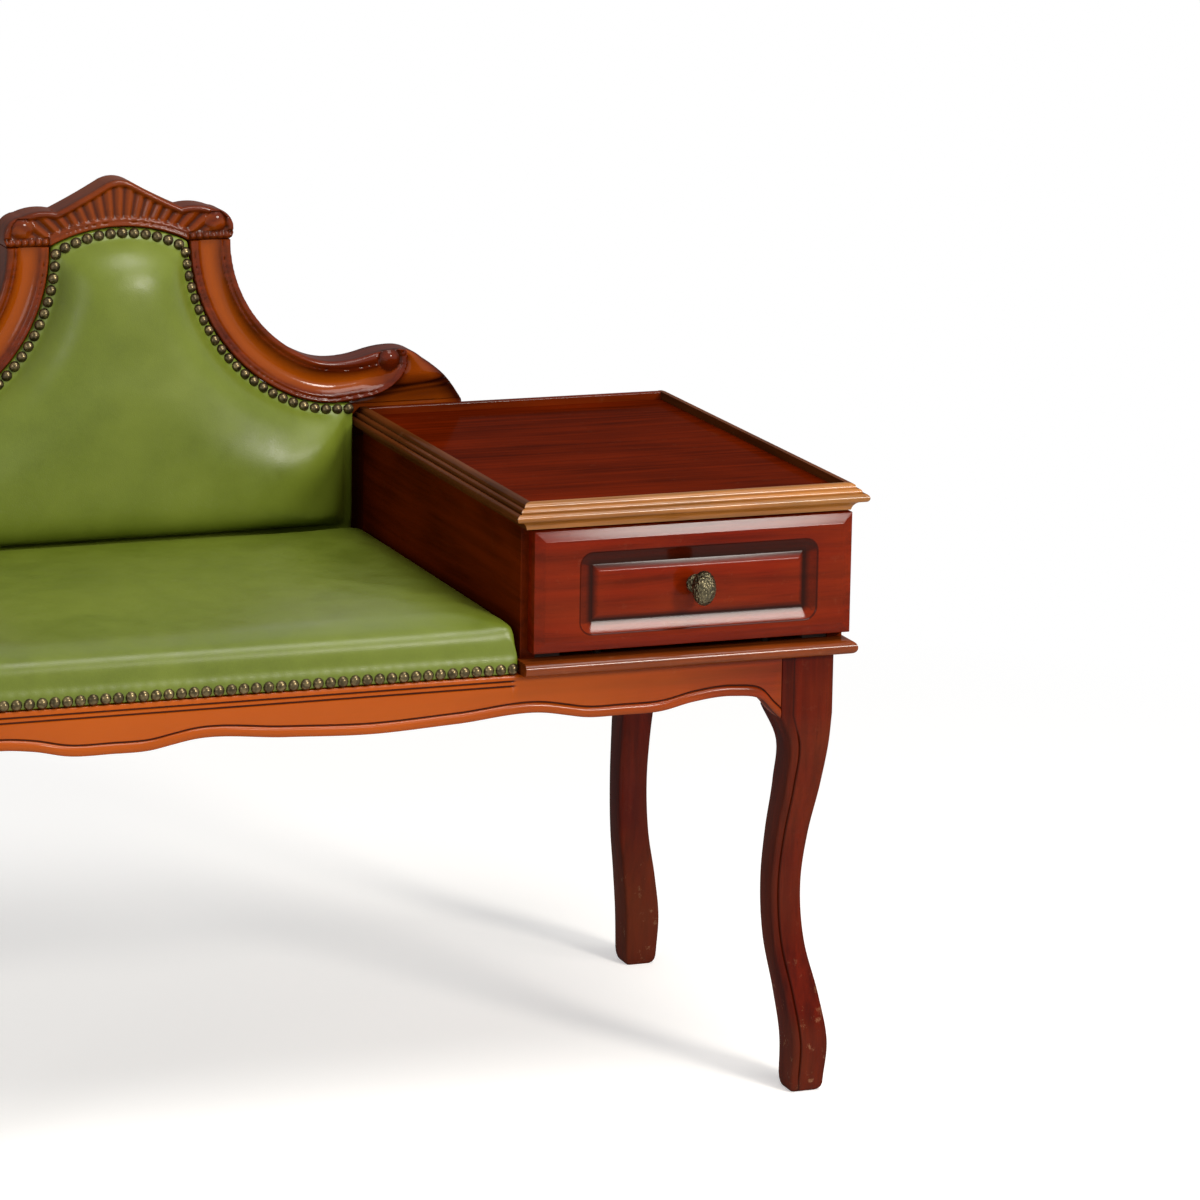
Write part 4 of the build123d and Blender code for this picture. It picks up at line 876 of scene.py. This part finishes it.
class BENCH_OT_carved_back(bpy.types.Operator):
    """Carved frame of the back: two swoops with scrolls and leaves, and the crest between them"""
    bl_idname = "bench.carved_back"
    bl_label = "Carved back"

    def execute(self, context):
        scroll = scroll_line()
        band = (swoop_line(0.0) + rise_line()[1:] + nose_line()[1:3] + scroll[::-1][1:]
                + [BAND_FOOT] + swoop_line(BAND)[::-1])
        for side, name, foot, foot_run, setback, reach in SWOOPS:
            tip = (HALF_BACK + reach, LEAF[1][1])
            shoulder = (LEAF[0][0] + 0.35 * reach - 4.0, LEAF[0][1] - 2.0)
            leaf_edge = nose_line() + arc_through(nose_line()[-1], shoulder, tip, 14)[1:]
            inner_end = [(foot_run, 578.4), (222.0, 578.4), (228.25, 590.0), (258.0, 612.0)]
            leaf = leaf_edge + [(tip[0], foot), (foot_run, foot)] + inner_end
            blade = leaf_edge[:-1] + [(tip[0] - 1.0, LEAF_FOOT), (foot_run, LEAF_FOOT)] + inner_end
            boards = [board(name, [(BACK_CENTRE + side * x, z) for x, z in outline], BACK_FRONT + front,
                            BACK_REAR)
                      for outline, front in ((band, 0.0), (leaf, setback), (blade, LEAF_START))]
            piece = joined_blank(name + "_carved", boards)
            points, flat = back_plane(piece, side)
            on_band = is_inside(flat, band) | (distance_to(flat, band + band[:1]) < 0.9)
            on_blade = ~on_band & (flat[:, 1] > LEAF_FOOT - 0.4)
            zones = [(on_band, BACK_FRONT, band_depth(flat[on_band]))]
            for here, front in ((on_blade, LEAF_START), (~on_band & ~on_blade, setback)):
                depth = leaf_depth(flat[here], leaf_edge, scroll)
                # painted highlight: the leaf is painted lighter where it stands forward
                glow = np.clip((2.8 - depth) / 3.4, 0, 0.58)
                if front == LEAF_START:
                    slope = clamp((604.0 - flat[here, 1]) / 30.0)
                    depth = depth + (setback - LEAF_START) * slope * slope * (3 - 2 * slope)
                zones.append((here, BACK_FRONT + front, (depth, glow)))
            carve(piece, points, zones, 0.86, 2.4, 0.3)
            polish_carving(piece, name)
        top, low = crest_lines()
        outline = [(BACK_CENTRE + x, z) for x, z in top + low[::-1]]
        piece = joined_blank("back_crest_carved", [board("back_crest", outline, BACK_FRONT, BACK_REAR)])
        points, flat = back_plane(piece)
        carve(piece, points, [(slice(None), BACK_FRONT, crest_depth(flat))], 0.9, 2.6, 0.25)
        polish_carving(piece, "back_crest")
        return {"FINISHED"}


# ---------------------------------------------------------------- drawer front and knob
PANEL_WIDE, PANEL_TALL, PANEL_SHIFT = 227.0, 75.0, (4.0, -3.0)
# how far inside its outline, how deep behind the face, and the corner radius
FRAME_STEPS = ((0.0, 18.5, 0.4), (0.0, 4.4, 0.4), (0.5, 3.4, 0.5), (8.8, 0.45, 0.6), (9.4, 0.15, 0.6),
               (10.2, 0.0, 0.6))
PANEL_STEPS = ((-0.9, 0.0, 12.9), (0.0, 0.2, 12.0), (0.6, 0.8, 11.5), (1.4, 1.25, 10.8), (6.0, 2.95, 6.8),
               (10.8, 4.75, 2.4), (12.2, 5.1, 1.2), (12.8, 4.9, 1.0), (17.4, 2.3, 0.8), (18.4, 1.9, 0.8))
# distance from the drawer's face, and radius, of the knob's rose and stem
KNOB_STEM = ((0.0, 8.5), (1.6, 8.5), (2.6, 7.4), (3.4, 5.4), (5.0, 4.6), (8.4, 4.5), (10.4, 5.2))
KNOB_DEEP, KNOB_HALF_WIDE, KNOB_HALF_TALL = 21.0, 10.6, 15.4


def rounded_ring(middle, wide, tall, radius, y):
    """Outline of an upright rectangle with rounded corners, facing the front at depth y."""
    ring = []
    for corner, (right, up) in enumerate(((1, 1), (-1, 1), (-1, -1), (1, -1))):
        x = middle[0] + right * (wide / 2 - radius)
        z = middle[1] + up * (tall / 2 - radius)
        ring += [(x + radius * cos(turn), y, z + radius * sin(turn))
                 for turn in [(corner + step / 6) * pi / 2 for step in range(7)]]
    return ring


class BENCH_OT_drawer_front(bpy.types.Operator):
    """Drawer front with a bevelled frame, a sunk panel with rounded corners and a raised field"""
    bl_idname = "bench.drawer_front"
    bl_label = "Drawer front"

    def execute(self, context):
        low, high = [Vector(corner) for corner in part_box("drawer_front")]
        low, high = low / MM, high / MM
        middle = ((low.x + high.x) / 2, (low.z + high.z) / 2)
        panel = (middle[0] + PANEL_SHIFT[0], middle[1] + PANEL_SHIFT[1])
        wide, tall = high.x - low.x, high.z - low.z
        rows = [rounded_ring(middle, wide - 2 * inset, tall - 2 * inset, radius, low.y + depth)
                for inset, depth, radius in FRAME_STEPS]
        rows += [rounded_ring(panel, PANEL_WIDE - 2 * inset, PANEL_TALL - 2 * inset, radius, low.y + depth)
                 for inset, depth, radius in PANEL_STEPS]
        piece = skin("drawer_front_panelled", rows)
        points = points_of(piece) / MM
        depth = points[:, 1] - low.y
        beside, up = np.abs(points[:, 0] - panel[0]), points[:, 2] - panel[1]
        inside = (beside < 114) & (np.abs(up) < 38)
        # painted shade: the ramp above the field, which faces down, is darkened most and the side ramps less;
        # the deep channel round the field and the edge of the sunk panel are darkened too, part patina and
        # part painted shade
        ramp = inside & (depth > 0.1) & ((beside > 99.0) | (np.abs(up) > 24.5))
        above = ramp & (up > 0.24 * beside) & (points[:, 2] > panel[1] + 20.0)
        shading = np.where(above, 0.8, np.where(ramp & (np.abs(up) < 27.0), 0.45, 0.0))
        mark(piece, "patina_and_shade", np.where(inside & (depth > 4.6), 0.95,
                                       np.where(inside & (depth > 0.1) & (depth < 1.0), 0.75, shading)))
        mark(piece, "hollow", np.zeros(len(points)))
        shade(piece, 30.0)
        finish(piece, wood("mahogany_drawer", times(colours().mahogany, 1.15), "x", worn=0.06,
                           patina_and_shade=True, gloss=0.13, light=(0.22, 0.030, 0.004), polish=0.055),
               body="drawer", replaced=["drawer_front"])
        return {"FINISHED"}


class BENCH_OT_knob(bpy.types.Operator):
    """Egg-shaped knob with a hammered head, on a stem and a rose"""
    bl_idname = "bench.knob"
    bl_label = "Knob"

    def execute(self, context):
        low, high = [np.array(corner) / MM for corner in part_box("drawer_knob")]
        centre_x, centre_z = (low[0] + high[0]) / 2, (low[2] + high[2]) / 2
        seat = high[1]
        rows = []
        turns = np.linspace(0, 2 * pi, 41)[:-1]
        for out, radius in KNOB_STEM:
            rows.append([(centre_x + radius * cos(a), seat - out, centre_z + radius * sin(a)) for a in turns])
        reach = seat - low[1]
        for step in range(1, 26):
            polar = pi * step / 26
            out = reach - KNOB_DEEP / 2 - KNOB_DEEP / 2 * cos(polar)
            if out < 10.8:
                continue
            rows.append([])
            for a in turns:
                scales = 1 + 0.035 * sin(8 * a + 2.2 * step) * sin(polar)
                rows[-1].append((centre_x + KNOB_HALF_WIDE * sin(polar) * scales * cos(a), seat - out,
                                 centre_z + KNOB_HALF_TALL * sin(polar) * scales * sin(a)))
        piece = skin("drawer_knob_turned", rows)
        shade(piece, 60.0)
        finish(piece, metal("knob_brass", (0.185, 0.155, 0.085), 0.26, 420.0, 0.9, tarnish=0.9),
               body="drawer", replaced=["drawer_knob"])
        return {"FINISHED"}


# ---------------------------------------------------------------- upholstery
def swell(piece, held, limit, frames=20):
    """Blow a closed cover out with cloth simulation. Held points stay, and no point moves past the limit."""
    start = points_of(piece).copy()
    choose(piece)
    pins = piece.vertex_groups.new(name="held")
    pins.add([int(i) for i in np.nonzero(held)[0]], 1.0, "REPLACE")
    cloth = piece.modifiers.new("Cloth", "CLOTH")
    cloth.settings.use_pressure = True
    cloth.settings.uniform_pressure_force = 4.0
    cloth.settings.effector_weights.gravity = 0.0
    cloth.settings.vertex_group_mass = "held"
    cloth.settings.quality = 4
    cloth.settings.tension_stiffness = 30
    cloth.settings.compression_stiffness = 30
    cloth.settings.bending_stiffness = 2.0
    cloth.point_cache.frame_start = 1
    cloth.point_cache.frame_end = frames
    for number in range(1, frames + 1):
        bpy.context.scene.frame_set(number)
    choose(piece)
    bpy.ops.object.modifier_apply(modifier=cloth.name)
    bpy.context.scene.frame_set(1)
    moved = points_of(piece) - start
    far = np.maximum(np.linalg.norm(moved, axis=1), 1e-9)
    set_points(piece, start + moved * np.minimum(1.0, limit / far)[:, None])
    piece.vertex_groups.clear()


# the cushion from its foot to its crown: height above the rails, and how far its front, left and rear,
# and then its right end, stand in
SEAT_RINGS = ((0.4, 0.0, 0.0), (5.0, 0.0, 0.0), (11.0, 0.0, 0.0), (20.0, -0.8, 0.0), (28.0, -0.6, 0.0),
              (34.0, 0.0, 0.2), (38.5, 1.6, 0.8), (42.0, 4.4, 2.0), (44.4, 8.4, 4.0), (45.9, 13.5, 8.0),
              (46.8, 22.0, 16.0), (48.0, 38.0, 30.0), (49.4, 66.0, 58.0), (51.0, 100.0, 92.0),
              (52.6, 140.0, 132.0), (53.6, 180.0, 172.0), (54.0, 205.0, 200.0))


class BENCH_OT_seat(bpy.types.Operator):
    """Padded seat under green leather, with a rolled edge and a low crown"""
    bl_idname = "bench.seat"
    bl_label = "Seat"

    def execute(self, context):
        low, high = [np.array(corner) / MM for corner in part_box("seat_cover")]
        rows = []
        for height, inset, right_inset in SEAT_RINGS:
            wide, deep = high[0] - low[0] - inset - right_inset, high[1] - low[1] - 2 * inset
            middle = (low[0] + inset + wide / 2, (low[1] + high[1]) / 2)
            corner = max(5.0, 22.0 - abs(inset - 22.0))
            ring = rounded_ring(middle, wide, deep, corner, 0.0)
            rows.append([(x, y, RAIL_TOP + height) for x, _, y in ring])
        piece = skin("seat_cushion", rows)
        apply_modifier(piece, "REMESH", mode="VOXEL", voxel_size=5.0 * MM, adaptivity=0.0)
        apply_modifier(piece, "SMOOTH", factor=0.5, iterations=2)
        height = points_of(piece)[:, 2] / MM - RAIL_TOP
        swell(piece, height < 15.0, sizes().seat_swell)
        soften(piece, lambda at: clamp((at[:, 2] - RAIL_TOP - 30.0) / 8.0), 3)
        apply_modifier(piece, "SUBSURF", levels=1, render_levels=1)
        soften(piece, lambda at: clamp((at[:, 2] - RAIL_TOP - 43.0) / 3.0), 25)
        apply_modifier(piece, "SMOOTH", factor=0.5, iterations=3)
        points = points_of(piece)
        at = points / MM
        beside = clamp((at[:, 0] - high[0] + 110.0) / 110.0)
        points[:, 2] += 2.0 * MM * beside**2 * clamp((at[:, 2] - RAIL_TOP - 28.0) / 14.0)
        points[:, 0] = np.minimum(points[:, 0], (high[0] - 0.2) * MM)
        set_points(piece, points)
        pucker(piece)
        shade(piece, 80.0)
        finish(piece, leather(), replaced=["seat_board", "seat_foam", "seat_cover"])
        return {"FINISHED"}


def soften(piece, weigh, passes):
    """Smooth a piece where a weight of its points, in millimetres, says."""
    weights = weigh(points_of(piece) / MM)
    loose = piece.vertex_groups.new(name="loose")
    for level in range(1, 6):
        chosen = np.nonzero(np.rint(weights * 5) == level)[0]
        if len(chosen):
            loose.add([int(i) for i in chosen], level / 5, "REPLACE")
    apply_modifier(piece, "SMOOTH", factor=0.5, iterations=passes, vertex_group="loose")
    piece.vertex_groups.clear()


def pucker(piece):
    """Shallow tucks in the cover over the front nails."""
    points = points_of(piece)
    x, height = points[:, 0] / MM, points[:, 2] / MM - RAIL_TOP
    front = points[:, 1] / MM < LEGS_FRONT + 8.0
    fade = np.exp(-((height - 12.0) / 6.0) ** 2) * front
    wave = 0.5 + 0.5 * np.cos(2 * pi * (x + 444.0) / 11.3)
    points[:, 1] += 0.25 * MM * fade * wave
    set_points(piece, points)


class BENCH_OT_back_pad(bpy.types.Operator):
    """Padded back under green leather, with a flat margin for its nails"""
    bl_idname = "bench.back_pad"
    bl_label = "Back pad"

    def execute(self, context):
        piece = copies_of("back_cushion", "back_board", "back_foam", "back_cover")
        apply_modifier(piece, "REMESH", mode="VOXEL", voxel_size=4.0 * MM, adaptivity=0.0)
        apply_modifier(piece, "SMOOTH", factor=0.5, iterations=3)
        points = points_of(piece)
        out = PAD_FACE - points[:, 1] / MM
        held = out < 6.0
        loose = clamp((out - 6.0) / 25.0)
        points[:, 1] += 3.0 * MM * loose
        set_points(piece, points)
        swell(piece, held, sizes().back_swell)
        soften(piece, lambda at: clamp((PAD_FACE - at[:, 1] - 5.0) / 6.0), 60)
        apply_modifier(piece, "SUBSURF", levels=1, render_levels=1)
        apply_modifier(piece, "SMOOTH", factor=0.5, iterations=3)
        shade(piece, 80.0)
        finish(piece, leather(), replaced=["back_board", "back_foam", "back_cover"])
        return {"FINISHED"}


def islands(node_name):
    """Lowest and highest corners of each separate shape in a CAD node."""
    shape = bmesh.new()
    shape.from_mesh(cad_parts[node_name].data)
    bmesh.ops.remove_doubles(shape, verts=shape.verts, dist=1e-6)
    seen, found = set(), []
    for first in shape.verts:
        if first in seen:
            continue
        stack, members = [first], []
        seen.add(first)
        while stack:
            vertex = stack.pop()
            members.append(vertex.co.copy())
            for edge in vertex.link_edges:
                other = edge.other_vert(vertex)
                if other not in seen:
                    seen.add(other)
                    stack.append(other)
        low = Vector([min(point[i] for point in members) for i in range(3)])
        high = Vector([max(point[i] for point in members) for i in range(3)])
        found.append((low, high))
    shape.free()
    return found


class BENCH_OT_nails(bpy.types.Operator):
    """Rows of domed upholstery nails"""
    bl_idname = "bench.nails"
    bl_label = "Nails"

    def execute(self, context):
        clear()
        bpy.ops.mesh.primitive_uv_sphere_add(segments=12, ring_count=6, radius=sizes().nail_radius)
        dome = name_it(bpy.context.object, "nail_dome")
        dome.scale.z = sizes().nail_height / sizes().nail_radius
        bpy.ops.object.transform_apply(location=False, rotation=False, scale=True)
        edit(dome)
        bpy.ops.mesh.bisect(plane_co=(0, 0, 0), plane_no=(0, 0, 1), clear_inner=True, use_fill=True)
        bpy.ops.object.mode_set(mode="OBJECT")
        for node_name in ("seat_nails", "back_nails"):
            copies = []
            for low, high in islands(node_name):
                middle, size = (low + high) / 2, high - low
                axis = min(range(3), key=lambda i: size[i])
                facing = Vector((0, 0, 0))
                facing[axis] = -1
                base = middle.copy()
                base[axis] = high[axis]
                turn = facing.to_track_quat("Z", "Y").to_matrix().to_4x4()
                copy = bpy.data.objects.new(node_name, dome.data.copy())
                bpy.context.collection.objects.link(copy)
                copy.data.transform(Matrix.Translation(base) @ turn)
                copies.append(copy)
            choose(copies[0])
            for copy in copies:
                copy.select_set(True)
            bpy.ops.object.join()
            piece = name_it(copies[0], node_name + "_domed")
            shade(piece, 60.0)
            finish(piece, metal("nail_brass", tuple(colours().brass), 0.28, 260.0, 0.06, tarnish=0.8),
                   replaced=[node_name])
        bpy.data.objects.remove(dome)
        return {"FINISHED"}


# ---------------------------------------------------------------- table and hidden parts
class BENCH_OT_table(bpy.types.Operator):
    """Finish of the table's boards and mouldings, the posts and the outer side rails"""
    bl_idname = "bench.table"
    bl_label = "Table"

    def execute(self, context):
        # painted highlight: the front rim is much lighter and more golden than the other rims, for the light
        # its rounded front catches
        lit_front_rim = wood("mahogany_lit_front_rim", (0.380, 0.1350, 0.0240), "x", worn=0.25, gloss=0.18,
                         light=(0.52, 0.24, 0.060), polish=0.16)
        rims = wood("mahogany_rims", (0.130, 0.0150, 0.0015), "x", worn=0.1, gloss=0.15)
        base = wood("mahogany_base", (0.200, 0.0380, 0.0050), "x", worn=0.2, gloss=0.15, polish=0.12)
        side_rims = wood("mahogany_side_rims", (0.120, 0.0320, 0.0072), "y", worn=0.15, gloss=0.15)
        top = wood("mahogany_top", (0.108, 0.0090, 0.0006), "x", worn=0.05, gloss=0.12, polish=0.010)
        sides = wood("mahogany_sides", (0.125, 0.0140, 0.0008), "y", worn=0.05, gloss=0.3, polish=0.02)
        dress("rim_front", lit_front_rim)
        dress("rim_rear", rims)
        dress("table_base", base)
        for name in ("rim_left", "rim_right"):
            dress(name, side_rims)
        dress("top_panel", top)
        for name in ("table_side_left", "table_side_right", "left_rail", "right_rail"):
            dress(name, sides)
        upright = wood("mahogany_posts", (0.055, 0.0080, 0.0012), "z", worn=0.1, gloss=0.24, polish=0.04)
        dress("back_post_left", upright)
        low, high = [np.array(corner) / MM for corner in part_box("back_post_right")]
        under_rim = [(LIP_LEFT - 11.6, 544.0), (LIP_LEFT + 2.2, 544.0), (LIP_LEFT + 2.2, 545.4),
                     (LIP_LEFT - 0.9, 551.1), (LIP_LEFT - 8.2, 553.7), (LIP_LEFT - 11.6, 553.7)]
        capped = copies_of("back_post_right_capped", "back_post_right")
        cap = board("post_cap", under_rim, low[1], high[1])
        choose(capped)
        cap.select_set(True)
        bpy.ops.object.join()
        finish(capped, upright, replaced=["back_post_right"])
        dress("rear_rail", deep_mahogany("x"))
        return {"FINISHED"}


class BENCH_OT_hidden_parts(bpy.types.Operator):
    """Finish of the inner woodwork, the drawer's box, the cloth under the seat and the fixings"""
    bl_idname = "bench.hidden_parts"
    bl_label = "Hidden parts"

    def execute(self, context):
        inner = plain_wood("inner_wood", colours().plain_wood, "x")
        inner_y = plain_wood("inner_wood_sides", colours().plain_wood, "y")
        thin = plain_wood("plywood", (0.36, 0.20, 0.095), "z")
        # painted shadow: the runners and kickers are made nearly black so that the gap under the drawer front
        # reads dark
        painted_shadow = plain_wood("painted_shadow_wood", (0.035, 0.012, 0.005), "y")
        for name in ("cross_rail", "corner_blocks", "back_lower_rail", "table_back", "top_stretcher",
                     "drawer_stops", "drawer_back", "back_dowels"):
            dress(name, inner)
        for name in ("drawer_side_left", "drawer_side_right"):
            dress(name, inner_y)
        for name in ("drawer_runners", "drawer_kickers"):
            dress(name, painted_shadow)
        for name in ("drawer_bottom", "outer_back_panel"):
            dress(name, thin)
        dress("dust_cover", black_cloth())
        steel = metal("steel", (0.10, 0.095, 0.09), 0.45, 300.0, 0.05, tarnish=0.25)
        for name in ("block_screws", "knob_screw", "back_bolts"):
            dress(name, steel)
        # painted shadow: the screw heads under the drawer are made nearly black for the same dark gap
        dress("table_screws", metal("painted_shadow_steel", (0.020, 0.012, 0.008), 0.6, 300.0, 0.05, tarnish=0.5))
        return {"FINISHED"}


# ---------------------------------------------------------------- stage
# name, place, what it is aimed at, size, power and tint
LAMPS = (("key", (1.6, -3.15, 1.95), (0, 0, 0.5), 0.75, 84, (1.0, 0.95, 0.88)),
         ("fill", (-3.0, -2.6, 1.6), (0, 0, 0.4), 1.4, 19, (1, 1, 1)),
         ("top", (0.65, -1.1, 2.75), (0, 0, 0.5), 1.4, 46, (1.0, 0.97, 0.93)))
FLOOR_LIFT, SURROUNDINGS = 0.42, 0.28
CAMERA_PLACE, CAMERA_LENS = (-1.4393, -4.5509, 1.5319), 161.02
CAMERA_YAW, CAMERA_PITCH, CAMERA_TILT = 20.75, 12.83, 0.88


def seen_rays(tree):
    """1 for what the camera sees, straight or in a polished surface, and 0 for the light it gives."""
    rays = node(tree, "ShaderNodeLightPath").outputs
    return math(tree, "MAXIMUM", rays["Is Camera Ray"],
                math(tree, "MAXIMUM", rays["Is Glossy Ray"], rays["Is Transmission Ray"]))


def area_light(name, place, aim, size, power, tint):
    light = bpy.data.lights.new(name, "AREA")
    light.shape = "DISK"
    light.size = size
    light.energy = power
    light.color = tint
    lamp = bpy.data.objects.new(name, light)
    bpy.context.collection.objects.link(lamp)
    lamp.location = place
    lamp.rotation_euler = (Vector(aim) - Vector(place)).to_track_quat("-Z", "Y").to_euler()


class BENCH_OT_stage(bpy.types.Operator):
    """Plain pale floor, soft studio lamps, pale surroundings and the camera"""
    bl_idname = "bench.stage"
    bl_label = "Stage"

    def execute(self, context):
        scene = bpy.context.scene
        clear()
        bpy.ops.mesh.primitive_plane_add(size=40, location=(0, 0, 0))
        floor = name_it(bpy.context.object, "floor")
        material, tree, shader = new_material("floor")
        place = object_place(tree)
        noise = node(tree, "ShaderNodeTexNoise", Vector=place, Scale=2.0, Detail=3.0)
        shade_of = colours().floor
        tree.links.new(blend_colour(tree, noise.outputs["Fac"], opaque(shade_of),
                                    opaque(tuple(min(1, 1.04 * c) for c in shade_of))),
                       shader.inputs["Base Color"])
        shader.inputs["Roughness"].default_value = 0.85
        seen = seen_rays(tree)
        away = node(tree, "ShaderNodeVectorMath", {"operation": "LENGTH"}, i0=place).outputs["Value"]
        far = spread(tree, away, 0.6, 1.9)
        white = node(tree, "ShaderNodeEmission", Color=(1, 1, 1, 1), Strength=1.0)
        lifted = node(tree, "ShaderNodeEmission", Color=(1, 1, 1, 1),
                      Strength=math(tree, "MULTIPLY", seen, FLOOR_LIFT))
        near = node(tree, "ShaderNodeAddShader", i0=shader.outputs[0], i1=lifted.outputs[0])
        mixed = node(tree, "ShaderNodeMixShader", i0=math(tree, "MULTIPLY", far, seen), i1=near.outputs[0],
                     i2=white.outputs[0])
        tree.links.new(mixed.outputs[0], tree.nodes["Material Output"].inputs["Surface"])
        floor.data.materials.append(material)

        world = bpy.data.worlds.new("surroundings")
        scene.world = world
        world.use_nodes = True
        tree = world.node_tree
        tree.nodes.clear()
        seen = seen_rays(tree)
        soft = node(tree, "ShaderNodeBackground", Color=(1, 1, 1, 1), Strength=SURROUNDINGS)
        white = node(tree, "ShaderNodeBackground", Color=(1, 1, 1, 1), Strength=1.0)
        mix = node(tree, "ShaderNodeMixShader", i0=seen, i1=soft.outputs[0], i2=white.outputs[0])
        output = node(tree, "ShaderNodeOutputWorld")
        tree.links.new(mix.outputs[0], output.inputs["Surface"])

        for lamp in LAMPS:
            area_light(*lamp)

        camera = bpy.data.cameras.new("camera")
        camera.lens = CAMERA_LENS
        camera.sensor_width = 36.0
        camera.clip_end = 60.0
        eye = bpy.data.objects.new("camera", camera)
        bpy.context.collection.objects.link(eye)
        yaw, pitch, tilt = radians(CAMERA_YAW), radians(CAMERA_PITCH), radians(CAMERA_TILT)
        forward = Vector((sin(yaw) * cos(pitch), cos(yaw) * cos(pitch), -sin(pitch)))
        level = Vector((cos(yaw), -sin(yaw), 0.0))
        upright = level.cross(forward)
        right = cos(tilt) * level + sin(tilt) * upright
        up = cos(tilt) * upright - sin(tilt) * level
        eye.matrix_world = Matrix.Translation(CAMERA_PLACE) @ Matrix(
            (right, up, -forward)).transposed().to_4x4()
        scene.camera = eye
        scene.view_settings.view_transform = "Standard"
        return {"FINISHED"}


# ---------------------------------------------------------------- panel and registration
PIECES = (BENCH_OT_stage, BENCH_OT_legs, BENCH_OT_front_rail, BENCH_OT_carved_back, BENCH_OT_drawer_front,
          BENCH_OT_knob, BENCH_OT_seat, BENCH_OT_back_pad, BENCH_OT_nails, BENCH_OT_table,
          BENCH_OT_hidden_parts)


class BENCH_PT_panel(bpy.types.Panel):
    """Pieces of the bench, with their sizes and colours"""
    bl_idname = "BENCH_PT_panel"
    bl_label = "Telephone bench"
    bl_space_type = "VIEW_3D"
    bl_region_type = "UI"
    bl_category = "Bench"

    def draw(self, context):
        for piece in PIECES:
            self.layout.operator(piece.bl_idname)
        for values in (context.scene.bench_sizes, context.scene.bench_colours):
            box = self.layout.box()
            for name in values.__annotations__:
                box.prop(values, name)


def register():
    for kind in (BenchSizes, BenchColours, *PIECES, BENCH_PT_panel):
        bpy.utils.register_class(kind)
    bpy.types.Scene.bench_sizes = bpy.props.PointerProperty(type=BenchSizes)
    bpy.types.Scene.bench_colours = bpy.props.PointerProperty(type=BenchColours)


def unregister():
    del bpy.types.Scene.bench_colours
    del bpy.types.Scene.bench_sizes
    for kind in (BENCH_PT_panel, *reversed(PIECES), BenchColours, BenchSizes):
        bpy.utils.unregister_class(kind)


def main():
    register()
    for piece in PIECES:
        family, action = piece.bl_idname.split(".")
        getattr(getattr(bpy.ops, family), action)()
    clear()


if __name__ == "__main__":
    main()
